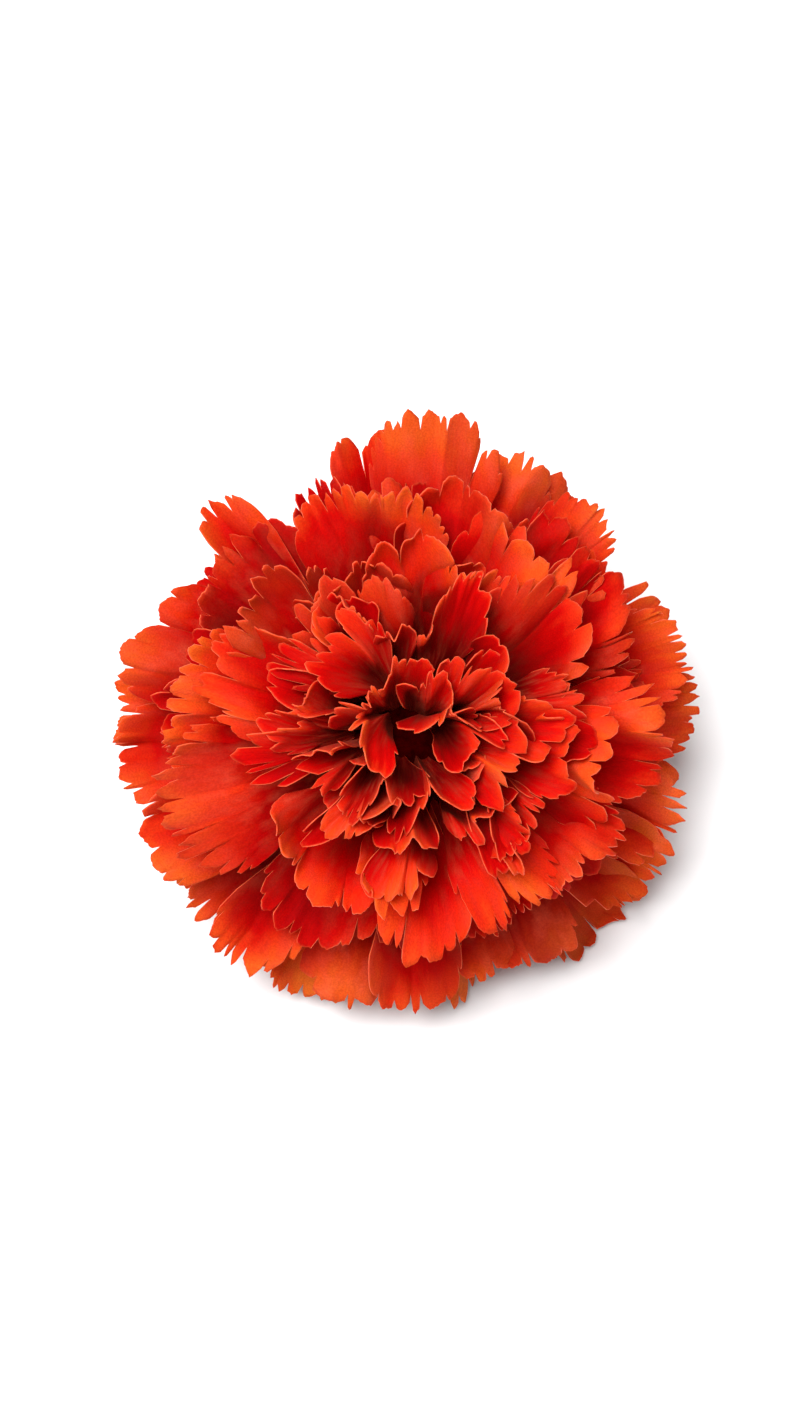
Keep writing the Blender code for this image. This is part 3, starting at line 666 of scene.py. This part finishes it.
def tooth_columns(petal):
    """Where the columns of the fine petal stand, with one at each tooth's tip and foot."""
    span = margin_half_width(petal.half_width, petal.reach, petal.opening)
    columns = []
    for low, high, _, _, _, skew, _ in petal.teeth:
        tip = tooth_tip(low, high, skew)
        for start, end in ((low, tip), (tip, high)):
            count = max(2, round((end - start) * span / COLUMN_PITCH))
            steps = np.linspace(0.0, 1.0, count + 1)[:-1]
            columns.extend(start + (end - start) * steps)
    columns.append(1.0)
    return np.array(columns)


def bend_between(across, low, high, lift, tilt):
    """How far a lobe or tooth bends at each place on it, none at its sides."""
    off = place_between(across, low, high)
    return (lift + tilt * off) * np.clip(1.0 - off ** 4, 0.0, 1.0)


def margin_curl(petal, across, share, rng):
    """Each lobe, and each tooth on it, bends up or down a little of its own, most at its tip."""
    curl = np.zeros(across.shape)
    rise = np.clip((share - LOBE_CURL_START) / (1.0 - LOBE_CURL_START), 0.0, 1.0) ** 2
    for low, high, _, _, _, lift, tilt in petal.lobes:
        curl = curl + bend_between(across, low, high, lift, tilt) * rise
    rise = np.clip((share - TOOTH_CURL_START) / (1.0 - TOOTH_CURL_START), 0.0, 1.0) ** 2
    for tooth in petal.teeth:
        curl = curl + bend_between(across, tooth[0], tooth[1], *rng.normal(0.0, TOOTH_CURL, 2)) * rise
    return curl


def new_mesh_object(name, vertices, faces):
    mesh = bpy.data.meshes.new(name)
    mesh.from_pydata(vertices.tolist(), [], faces)
    mesh.polygons.foreach_set("use_smooth", [True] * len(mesh.polygons))
    obj = bpy.data.objects.new(name, mesh)
    bpy.context.scene.collection.objects.link(obj)
    return obj


def add_attribute(obj, name, values):
    attribute = obj.data.attributes.new(name, "FLOAT", "POINT")
    attribute.data.foreach_set("value", values.astype(np.float32).ravel())


def add_thickness(obj, thickness):
    thick = obj.modifiers.new("thickness", "SOLIDIFY")
    thick.thickness = thickness
    thick.offset = 0.0
    return thick


def grid_faces(columns, rows):
    index = np.arange(columns * rows).reshape(columns, rows)
    corners = (index[:-1, :-1], index[1:, :-1], index[1:, 1:], index[:-1, 1:])
    return np.stack(corners, -1).reshape(-1, 4).tolist()


def fine_petal(name, petal, layer, twists, rng, materials):
    """One petal as its own thin sheet, with what its colour needs stored on its points."""
    columns = tooth_columns(petal)
    band = np.linspace(0.0, 1.0, BAND_ROWS + 1)[1:] ** BAND_CROWDING
    root = np.linspace(PETAL_ROOT, MARGIN_BAND, ROOT_ROWS)
    edge = margin_share(petal, columns) - rng.uniform(0.0, FRAY, len(columns)) / petal.reach
    across = np.repeat(columns[:, None], ROOT_ROWS + BAND_ROWS, axis=1)
    outer = MARGIN_BAND + (edge[:, None] - MARGIN_BAND) * band[None, :]
    share = np.concatenate([np.repeat(root[None, :], len(columns), axis=0), outer], axis=1)
    curl = margin_curl(petal, across, share, rng)
    upright, rise = petal_points(petal, across, share, curl, twists)
    points = laid(upright)
    points[..., 2] = np.maximum(points[..., 2], SURFACE_CLEARANCE + layer * LAYER_STEP)
    obj = new_mesh_object(name, points.reshape(-1, 3), grid_faces(*share.shape))

    dist = np.linalg.norm(upright, axis=-1)
    polar = np.arccos(np.clip(upright[..., 2] / np.maximum(dist, 1e-9), -1.0, 1.0))
    # Depth below the dome and the eye's shade, by which the colour darkens as painted shade of the recesses
    shade = EYE_SHADE * np.clip(1.0 - polar / math.radians(EYE_SHADE_OPENING), 0.0, 1.0)
    span = CROWN_DEPTH_SPAN if petal.kind == "crown" else DEPTH_SPAN
    add_attribute(obj, "depth", np.clip((dome_reach(polar) - dist) / span + shade, 0.0, 1.0))
    add_attribute(obj, "edge", (edge[:, None] - share) * petal.reach * 1000.0)
    add_attribute(obj, "arc", across * petal.half_width * np.maximum(dist, LEAST_VEIN_RADIUS) * 1000.0)
    add_attribute(obj, "along", dist * 1000.0)
    add_attribute(obj, "outer", np.clip((np.degrees(polar) - OUTER_START) / OUTER_SPAN, 0.0, 1.0))
    # Crests and troughs of the folds, by which the colour lightens as a painted highlight and darkens as
    # painted shade
    add_attribute(obj, "crest", np.clip(0.5 - (rise + curl) / CREST_SPAN, 0.0, 1.0))
    lobe = np.zeros(share.shape)
    fade = np.clip((share - LOBE_TINT_START) / LOBE_TINT_SPAN, 0.0, 1.0)
    for low, high, _, _, _, _, _ in petal.lobes:
        lobe = np.where((across >= low) & (across <= high), fade * rng.normal(0.0, LOBE_TINT), lobe)
    add_attribute(obj, "tint", np.clip(rng.uniform() + lobe, 0.0, 1.0))
    add_attribute(obj, "own", np.full(share.shape, rng.uniform(0.0, PATTERN_RANGE)))

    for material in materials:
        obj.data.materials.append(material)
    thick = add_thickness(obj, PETAL_THICKNESS)
    thick.material_offset = 1
    thick.material_offset_rim = 2
    thick.use_quality_normals = True
    return obj


class Nodes:
    """Short ways to add the nodes of a procedural material."""

    def __init__(self, name):
        self.material = bpy.data.materials.new(name)
        self.material.use_nodes = True
        self.tree = self.material.node_tree
        self.shader = self.tree.nodes["Principled BSDF"]

    def add(self, kind, **values):
        node = self.tree.nodes.new(kind)
        for key, value in values.items():
            setattr(node, key, value)
        return node

    def feed(self, value, socket):
        """A number or colour is set on the socket itself, and another node's output is linked to it."""
        if isinstance(value, (int, float)):
            socket.default_value = value
        elif isinstance(value, tuple):
            socket.default_value = (*value, 1.0)
        else:
            self.tree.links.new(value, socket)

    def attributes(self, *names):
        return [self.add("ShaderNodeAttribute", attribute_name=name).outputs["Fac"] for name in names]

    def math(self, operation, *values):
        node = self.add("ShaderNodeMath", operation=operation)
        for socket, value in zip(node.inputs, values):
            self.feed(value, socket)
        return node.outputs[0]

    def times(self, first, second):
        return self.math("MULTIPLY", first, second)

    def plus(self, first, second):
        return self.math("ADD", first, second)

    def swing(self, source, size):
        """A value from 0 to 1 as one that swings this far in all round zero."""
        return self.times(self.math("SUBTRACT", source, 0.5), size)

    def ramp(self, source, stops):
        node = self.add("ShaderNodeValToRGB")
        elements = node.color_ramp.elements
        while len(elements) < len(stops):
            elements.new(0.5)
        for element, (position, color) in zip(elements, stops):
            element.position = position
            element.color = (*color, 1.0)
        self.feed(source, node.inputs[0])
        return node.outputs[0]

    def fade(self, source, start, end, first, last):
        """From one amount at the start to another at the end."""
        return self.ramp(source, ((start, (first,) * 3), (end, (last,) * 3)))

    def vector(self, x, y, z):
        node = self.add("ShaderNodeCombineXYZ")
        for socket, value in zip(node.inputs, (x, y, z)):
            self.feed(value, socket)
        return node.outputs[0]

    def noise(self, vector, scale, detail=3.0):
        node = self.add("ShaderNodeTexNoise")
        node.inputs["Scale"].default_value = scale
        node.inputs["Detail"].default_value = detail
        self.feed(vector, node.inputs["Vector"])
        return node.outputs["Fac"]

    def blend(self, mode, amount, first, second):
        node = self.add("ShaderNodeMix", data_type="RGBA", blend_type=mode)
        self.feed(amount, node.inputs["Factor"])
        for key, value in (("A", first), ("B", second)):
            self.feed(value, [s for s in node.inputs if s.name == key and s.type == "RGBA"][0])
        return [s for s in node.outputs if s.type == "RGBA"][0]

    def bump(self, height, distance, strength):
        node = self.add("ShaderNodeBump")
        node.inputs["Distance"].default_value = distance
        node.inputs["Strength"].default_value = strength
        self.feed(height, node.inputs["Height"])
        self.feed(node.outputs["Normal"], self.shader.inputs["Normal"])

    def color(self, source):
        self.feed(source, self.shader.inputs["Base Color"])

    def set(self, **values):
        for key, value in values.items():
            self.shader.inputs[key.replace("_", " ")].default_value = value


def petal_material(name, paling, veining):
    """One side of the petals: how far it pales toward BACK_COLOR, and how strong its veins are."""
    nodes = Nodes(name)
    depth, edge, tint, crest, outer = nodes.attributes("depth", "edge", "tint", "crest", "outer")
    arc, along, own = nodes.attributes("arc", "along", "own")
    vein, cloud = (
        nodes.noise(nodes.vector(nodes.times(arc, across), nodes.times(along, lengthwise), own), 1.0)
        for across, lengthwise in (VEIN_SCALE, CLOUD_SCALE)
    )
    grain = nodes.noise(nodes.vector(arc, along, own), GRAIN_SCALE, 2.0)
    # Painted shade in the troughs of the folds
    hollow = nodes.times(nodes.math("SUBTRACT", 0.5, crest), 0.22)
    # Darker with depth below the dome and toward the eye: painted shade of the recesses, partly the petal's
    # own deeper red toward its root
    base = nodes.ramp(nodes.plus(nodes.plus(depth, nodes.swing(cloud, 0.34)), hollow), PETAL_SHADE_STOPS)
    color = nodes.blend("MULTIPLY", 1.0, base, nodes.ramp(tint, TINT_STOPS))
    color = nodes.blend("MIX", outer, color, nodes.blend("MULTIPLY", 1.0, color, OUTER_TINT))
    color = nodes.blend("MIX", paling, color, BACK_COLOR)
    color = nodes.blend("MULTIPLY", veining, color, nodes.ramp(vein, VEIN_STOPS))
    # Painted highlight in patches on the crests of the folds
    pale = nodes.times(nodes.fade(cloud, 0.42, 0.88, 0.0, 1.0), crest)
    color = nodes.blend("MIX", nodes.times(pale, 0.6), color, HIGHLIGHT_COLOR)
    color = nodes.blend("MULTIPLY", 0.8, color, nodes.ramp(grain, GRAIN_STOPS))
    # Painted light in a thin patchy band along the margin
    near = nodes.fade(edge, 0.0, 0.24, 1.0, 0.0)
    patchy = nodes.times(near, nodes.fade(cloud, 0.35, 0.65, 0.15, 0.6))
    nodes.color(nodes.blend("MIX", patchy, color, EDGE_LIGHT_COLOR))
    nodes.bump(vein, 0.00012, 0.35)
    nodes.set(Roughness=0.7, Specular_IOR_Level=0.03, Subsurface_Weight=0.30, Subsurface_Scale=0.0012)
    nodes.set(Subsurface_Radius=(1.0, 0.10, 0.03))
    nodes.set(Sheen_Weight=0.03, Sheen_Roughness=0.4, Sheen_Tint=SHEEN_COLOR)
    return nodes.material


def rim_material():
    nodes = Nodes("petal_rim")
    cloud = nodes.noise(nodes.vector(*nodes.attributes("arc", "along", "own")), RIM_SCALE)
    # Paler than the petal's faces: painted rim light along the cut edge
    nodes.color(nodes.ramp(cloud, RIM_LIGHT_STOPS))
    nodes.set(Roughness=0.6, Specular_IOR_Level=0.2)
    nodes.set(Subsurface_Weight=0.4, Subsurface_Scale=0.001, Subsurface_Radius=(1.0, 0.15, 0.05))
    return nodes.material


def smooth_profile(profile, count):
    """A profile read evenly from a smooth curve through its points."""
    points = np.array(profile)
    steps = np.concatenate([[0.0], np.cumsum(np.linalg.norm(np.diff(points, axis=0), axis=1))])
    slopes = np.gradient(points, steps, axis=0)
    places = np.linspace(0.0, steps[-1], count)
    k = np.clip(np.searchsorted(steps, places, side="right") - 1, 0, len(steps) - 2)
    span = (steps[k + 1] - steps[k])[:, None]
    t = (places - steps[k])[:, None] / span
    start = (2.0 * t ** 3 - 3.0 * t ** 2 + 1.0) * points[k] + (t ** 3 - 2.0 * t ** 2 + t) * span * slopes[k]
    end = (3.0 * t ** 2 - 2.0 * t ** 3) * points[k + 1] + (t ** 3 - t ** 2) * span * slopes[k + 1]
    return start + end


def ring_faces(rows, sides, start=0):
    """Faces between rows of points that each go right round."""
    index = start + np.arange(rows * sides).reshape(rows, sides)
    after = np.roll(index, -1, axis=1)
    return np.stack([index[:-1], after[:-1], after[1:], index[1:]], -1).reshape(-1, 4)


def fine_claws():
    """The claws packed in the head's middle, as one ridged mound with a flat face at each end."""
    turns = np.linspace(0.0, 2.0 * math.pi, CLAW_SIDES, endpoint=False)
    radius, height = np.array(CLAW_PROFILE).T[:, :, None]
    upright = around(radius * (1.0 + waves(turns, height, CLAW_WAVES)), turns, height)
    faces = ring_faces(len(CLAW_PROFILE), CLAW_SIDES).tolist()
    faces.append(tuple(range(CLAW_SIDES - 1, -1, -1)))
    faces.append(tuple((len(CLAW_PROFILE) - 1) * CLAW_SIDES + k for k in range(CLAW_SIDES)))
    return new_mesh_object("petal_claws", laid(upright).reshape(-1, 3), faces)


def calyx_top(turns):
    """Height of the toothed margin: a tooth rises by a blend of powers, each a little unlike the next."""
    tooth = turns * CALYX_TEETH / (2.0 * math.pi)
    height = 1.0 - CALYX_TOOTH_VARIETY * np.sin(2.4 * np.floor(tooth) + 0.5) ** 2
    inward = 1.0 - np.abs(2.0 * (tooth % 1.0) - 1.0)
    rise = sum(part * inward ** power for part, power in CALYX_TOOTH_RISES)
    return CALYX_TOOTH_FOOT + (CALYX_TOOTH_TIP - CALYX_TOOTH_FOOT) * height * rise


def calyx_skin(profile, inward):
    """Points of one skin of the calyx, row by row, and how far each lies below the margin."""
    turns = np.linspace(0.0, 2.0 * math.pi, CALYX_COLUMNS, endpoint=False)
    tube = smooth_profile(profile, CALYX_TUBE_ROWS)
    foot_radius, foot_height = tube[-1]
    top = calyx_top(turns)
    share = np.linspace(0.0, 1.0, CALYX_TOOTH_ROWS + 1)[1:, None] ** CALYX_TOOTH_CROWDING
    tooth_height = foot_height + share * (top - foot_height)
    tooth_radius = foot_radius + CALYX_TOOTH_FLARE * (tooth_height - foot_height) ** 2
    tooth_radius = tooth_radius + inward * CALYX_TIP_THICKENING * share
    radius = np.concatenate([np.repeat(tube[:, :1], CALYX_COLUMNS, axis=1), tooth_radius])
    height = np.concatenate([np.repeat(tube[:, 1:], CALYX_COLUMNS, axis=1), tooth_height])
    swell = waves(turns, height, CALYX_WAVES)
    ribs = (0.0 if inward else RIB_HEIGHT) * np.abs(np.sin(CALYX_RIBS / 2.0 * turns))
    radius = radius + np.clip((height - RIB_START) / RIB_FADE, 0.0, 1.0) * (swell + ribs)
    return around(radius, turns, height), (top - height) * 1000.0


def fine_calyx():
    """The calyx as a thin toothed tube, ribbed along its veins."""
    outer, outer_edge = calyx_skin(CALYX_OUTER, 0.0)
    inner, inner_edge = calyx_skin(CALYX_INNER, 1.0)
    rows = len(outer)
    upright = np.concatenate([outer, inner])
    low, high = np.arange(CALYX_COLUMNS), np.arange(CALYX_COLUMNS) + (rows - 1) * CALYX_COLUMNS
    inside = rows * CALYX_COLUMNS
    faces = ring_faces(rows, CALYX_COLUMNS).tolist()
    faces += ring_faces(rows, CALYX_COLUMNS, inside)[:, ::-1].tolist()
    top = np.stack([high, np.roll(high, -1), np.roll(high, -1) + inside, high + inside], -1)
    foot = np.stack([np.roll(low, -1), low, low + inside, np.roll(low, -1) + inside], -1)
    faces += top.tolist() + foot.tolist()
    obj = new_mesh_object("calyx_tube", laid(upright).reshape(-1, 3), faces)
    add_green_attributes(obj, upright, np.concatenate([outer_edge, inner_edge]))
    return obj


def add_green_attributes(obj, upright, edge):
    """Where a point is round and along the stem's axis, and how far from the margin, in mm."""
    for name, values in zip(("round_x", "round_y", "along"), np.moveaxis(upright * 1000.0, -1, 0)):
        add_attribute(obj, name, values)
    add_attribute(obj, "edge", edge)


def fine_bract(n):
    """One bract, which rises from the stem, cups the calyx's foot and ends in a drawn-out point."""
    foot_radius, foot_height = EPICALYX_OUTER[-1]
    tip = BRACT_TIPS[n % 2]
    rise = np.linspace(0.0, tip - foot_height, 6)[1:]
    blade = [(foot_radius + BRACT_FLARE * h * h + 0.05 * h, foot_height + h) for h in rise]
    path = smooth_profile(EPICALYX_OUTER + tuple(blade), BRACT_ROWS)
    inset = BRACT_THICKNESS / 2.0 + (n % 2) * BRACT_PAIR_GAP
    across = np.linspace(-1.0, 1.0, BRACT_COLUMNS)[:, None]
    up = np.clip((path[:, 1] - BRACT_FOOT) / (tip - BRACT_FOOT), 0.0, 1.0)[None, :]
    width = (1.0 - up ** 1.7) ** 0.75 * (1.0 - 0.35 * up)
    half = math.radians(BRACT_HALF_WIDTH) * (BRACT_TIP_WIDTH + (1.0 - BRACT_TIP_WIDTH) * width)
    turn = math.radians(90.0) * (n + 0.5) + across * half + BRACT_LEAN * math.sin(2.0 * n + 1.0) * up
    arc = across * half * path[:, 0]
    midrib = MIDRIB_HEIGHT * np.exp(-(arc / MIDRIB_WIDTH) ** 2) * np.clip(up * 3.0, 0.0, 1.0)
    ribs = BRACT_RIB_HEIGHT * np.sin(across * 40.0) * np.clip(up * 4.0, 0.0, 1.0)
    wave = BRACT_WAVE * up ** 2 * np.sin(3.0 * across + 1.7 * n) + BRACT_TIP_FLARE * up ** 6
    radius = path[:, 0] - inset + midrib + ribs + wave
    upright = around(radius, turn, path[:, 1])
    obj = new_mesh_object(f"bract_{n}", laid(upright).reshape(-1, 3), grid_faces(BRACT_COLUMNS, BRACT_ROWS))
    side = (1.0 - np.abs(across)) * half * radius * 1000.0
    add_green_attributes(obj, upright, np.minimum(side, (tip - path[:, 1]) * 1000.0))
    add_thickness(obj, BRACT_THICKNESS)
    return obj


def fine_stem(skin, cut):
    """The stem from the receptacle past its joint to the cut, which lies level on the surface."""
    lie = np.array(lie_matrix())
    turns = np.linspace(0.0, 2.0 * math.pi, STEM_SIDES, endpoint=False)
    ribs = 1.0 + waves(turns, 0.0, STEM_WAVES)
    profile = smooth_profile(STEM_PROFILE, STEM_ROWS)
    rows = [around(radius * ribs, turns, height) for radius, height in profile]
    last = rows[-1]
    level = -(lie[2, 3] + lie[2, 0] * last[:, 0] + lie[2, 1] * last[:, 1]) / lie[2, 2]
    for step in np.linspace(0.0, 1.0, STEM_FOOT_ROWS + 1)[1:]:
        rows.append(np.stack([last[:, 0], last[:, 1], last[:, 2] + (level - last[:, 2]) * step], -1))
    foot = rows[-1]
    middle = foot.mean(axis=0)
    skin_faces = (len(rows) - 1) * STEM_SIDES
    rows += [middle + (foot - middle) * share for share in STEM_CUT_RINGS]
    upright = np.concatenate([np.array(rows).reshape(-1, 3), [rows[0].mean(axis=0), middle]])
    vertices = laid(upright)
    vertices[:, 2] = np.maximum(vertices[:, 2], 0.0)
    faces = ring_faces(len(rows), STEM_SIDES)[:, ::-1].tolist()
    top, end = len(rows) * STEM_SIDES, len(rows) * STEM_SIDES + 1
    last_ring = (len(rows) - 1) * STEM_SIDES
    for k in range(STEM_SIDES):
        n = (k + 1) % STEM_SIDES
        faces.append([top, k, n])
        faces.append([end, last_ring + n, last_ring + k])
    obj = new_mesh_object("cut_stem", vertices, faces)
    add_green_attributes(obj, upright, np.full(len(upright), FAR_FROM_MARGIN))
    obj.data.materials.append(skin)
    obj.data.materials.append(cut)
    which = [0] * skin_faces + [1] * (len(STEM_CUT_RINGS) * STEM_SIDES) + [0, 1] * STEM_SIDES
    obj.data.polygons.foreach_set("material_index", which)
    return obj


def green_material(name, stops, veins, margin, tip):
    """Waxy green skin: colour along the axis, lengthwise veins, a paler margin and a blotchy bloom."""
    nodes = Nodes(name)
    x, y, along, edge = nodes.attributes("round_x", "round_y", "along", "edge")
    lengthwise = nodes.vector(nodes.times(x, 2.6), nodes.times(y, 2.6), nodes.times(along, 0.10))
    fibre = nodes.noise(lengthwise, 1.0, 4.0)
    where = nodes.vector(x, y, along)
    cloud = nodes.noise(where, 0.45, 4.0)
    speck = nodes.noise(where, 5.0, 2.0)
    low, high = stops[0][0], stops[-1][0]
    share = nodes.math("SUBTRACT", nodes.plus(along, nodes.swing(cloud, 3.0)), low)
    share = nodes.math("DIVIDE", share, high - low)
    color = nodes.ramp(share, tuple(((at - low) / (high - low), color) for at, color in stops))
    color = nodes.blend("MIX", nodes.fade(fibre, 0.42, 0.62, 0.0, 0.6), color, veins)
    color = nodes.blend("MIX", nodes.fade(cloud, 0.40, 0.70, 0.0, 0.42), color, WAX_BLOOM)
    near = nodes.fade(edge, 0.05, 0.55, 1.0, 0.0)
    color = nodes.blend("MIX", nodes.times(near, 0.75), color, margin)
    dry = nodes.fade(edge, 0.0, 0.12, 1.0, 0.0)
    nodes.color(nodes.blend("MIX", nodes.times(dry, 0.6), color, tip))
    nodes.feed(nodes.fade(speck, 0.3, 0.7, 0.42, 0.60), nodes.shader.inputs["Roughness"])
    nodes.bump(nodes.plus(fibre, nodes.times(speck, 0.25)), 0.00010, 0.55)
    nodes.set(Specular_IOR_Level=0.35, Subsurface_Weight=0.12, Subsurface_Scale=0.0008)
    nodes.set(Subsurface_Radius=(0.45, 1.0, 0.12), Coat_Weight=0.05, Coat_Roughness=0.35)
    return nodes.material


def cut_material():
    """The stem's cut face: pale pith, a ring of darker vessels and the green skin round it."""
    nodes = Nodes("stem_cut")
    x, y = nodes.attributes("round_x", "round_y")
    grain = nodes.noise(nodes.vector(x, y, 0.0), 4.0, 3.0)
    away = nodes.math("SQRT", nodes.plus(nodes.times(x, x), nodes.times(y, y)))
    share = nodes.math("DIVIDE", nodes.plus(away, nodes.swing(grain, 0.35)), CUT_RADIUS_MM)
    nodes.color(nodes.ramp(share, CUT_STOPS))
    nodes.bump(grain, 0.0002, 0.6)
    nodes.set(Roughness=0.35, Specular_IOR_Level=0.5, Subsurface_Weight=0.2, Subsurface_Scale=0.0008)
    return nodes.material


def claw_material():
    nodes = Nodes("petal_claws")
    streak = nodes.noise(nodes.add("ShaderNodeTexCoord").outputs["Object"], 900.0)
    # Near black: painted shade of the middle of the head
    nodes.color(nodes.ramp(streak, CLAW_SHADE_STOPS))
    nodes.bump(streak, 0.0002, 0.5)
    nodes.set(Roughness=0.9, Specular_IOR_Level=0.0)
    return nodes.material


def place(obj, slot, *nodes):
    """A piece rides on the one body and stands for these nodes, whose solids it hides. The slot is not used.
    """
    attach(obj, "root")
    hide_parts(*nodes)


def add_green_parts():
    calyx = fine_calyx()
    calyx.data.materials.append(green_material("calyx_skin", CALYX_STOPS, *CALYX_DETAILS))
    place(calyx, "calyx", "calyx")
    bract_look = green_material("bract_skin", BRACT_STOPS, *BRACT_DETAILS)
    for n in range(BRACT_COUNT):
        bract = fine_bract(n)
        bract.data.materials.append(bract_look)
        place(bract, "epicalyx", "epicalyx")
    stem_look = green_material("stem_skin", STEM_STOPS, *STEM_DETAILS)
    place(fine_stem(stem_look, cut_material()), "stem", "stem")


def add_petals():
    claws = fine_claws()
    claws.data.materials.append(claw_material())
    place(claws, "petals", "petals")
    back, face = petal_material("petal_back", *BACK_LOOK), petal_material("petal_face", *FACE_LOOK)
    looks = (back, face, rim_material())
    twists = draw_twists()
    for n, petal in enumerate(draw_petals(twists)):
        layer = 0 if petal.kind == "guard" else 1 + n % LAYERS
        rng = np.random.default_rng((SEED + 2, n))
        obj = fine_petal(f"petal_{petal.kind}_{n:02d}", petal, layer, twists, rng, looks)
        place(obj, "petals", "petals")


def add_floor():
    far = FLOOR_REACH
    corners = [(-far, -far, 0.0), (far, -far, 0.0), (far, far, 0.0), (-far, far, 0.0)]
    mesh = bpy.data.meshes.new("floor")
    mesh.from_pydata(corners, [], [(0, 1, 2, 3)])
    floor = bpy.data.objects.new("floor", mesh)
    bpy.context.scene.collection.objects.link(floor)
    nodes = Nodes("floor")
    nodes.set(Base_Color=FLOOR_COLOR, Roughness=0.9, Specular_IOR_Level=0.1)
    mesh.materials.append(nodes.material)


def add_camera():
    elevation = math.radians(CAMERA_ELEVATION)
    right = Vector((1.0, 0.0, 0.0))
    up = Vector((0.0, math.sin(elevation), math.cos(elevation)))
    back = Vector((0.0, -math.cos(elevation), math.sin(elevation)))
    data = bpy.data.cameras.new("camera")
    data.lens = LENS
    data.sensor_width = SENSOR
    camera = bpy.data.objects.new("camera", data)
    bpy.context.scene.collection.objects.link(camera)
    distance = PICTURE_HEIGHT * PIXEL * LENS / SENSOR
    fan = Vector((SEAT_X, SEAT_Y, FAN_HEIGHT))
    aim = fan - right * FAN_RIGHT_OF_CENTRE * PIXEL + up * FAN_BELOW_CENTRE * PIXEL
    camera.location = aim + back * distance
    camera.rotation_mode = "QUATERNION"
    camera.rotation_quaternion = (-back).to_track_quat("-Z", "Y")
    bpy.context.scene.camera = camera


def add_lights():
    world = bpy.data.worlds.new("studio")
    bpy.context.scene.world = world
    world.use_nodes = True
    world.node_tree.nodes["Background"].inputs["Color"].default_value = WORLD_COLOR
    world.node_tree.nodes["Background"].inputs["Strength"].default_value = WORLD_STRENGTH
    light = bpy.data.lights.new("key", "SUN")
    light.angle = math.radians(KEY_ANGLE)
    light.energy = KEY_STRENGTH
    obj = bpy.data.objects.new("key", light)
    bpy.context.scene.collection.objects.link(obj)
    obj.location = KEY_FROM
    obj.rotation_mode = "QUATERNION"
    obj.rotation_quaternion = (-Vector(KEY_FROM)).to_track_quat("-Z", "Y")


add_green_parts()
add_petals()
add_floor()
add_camera()
add_lights()
bpy.context.scene.view_settings.view_transform = "Standard"
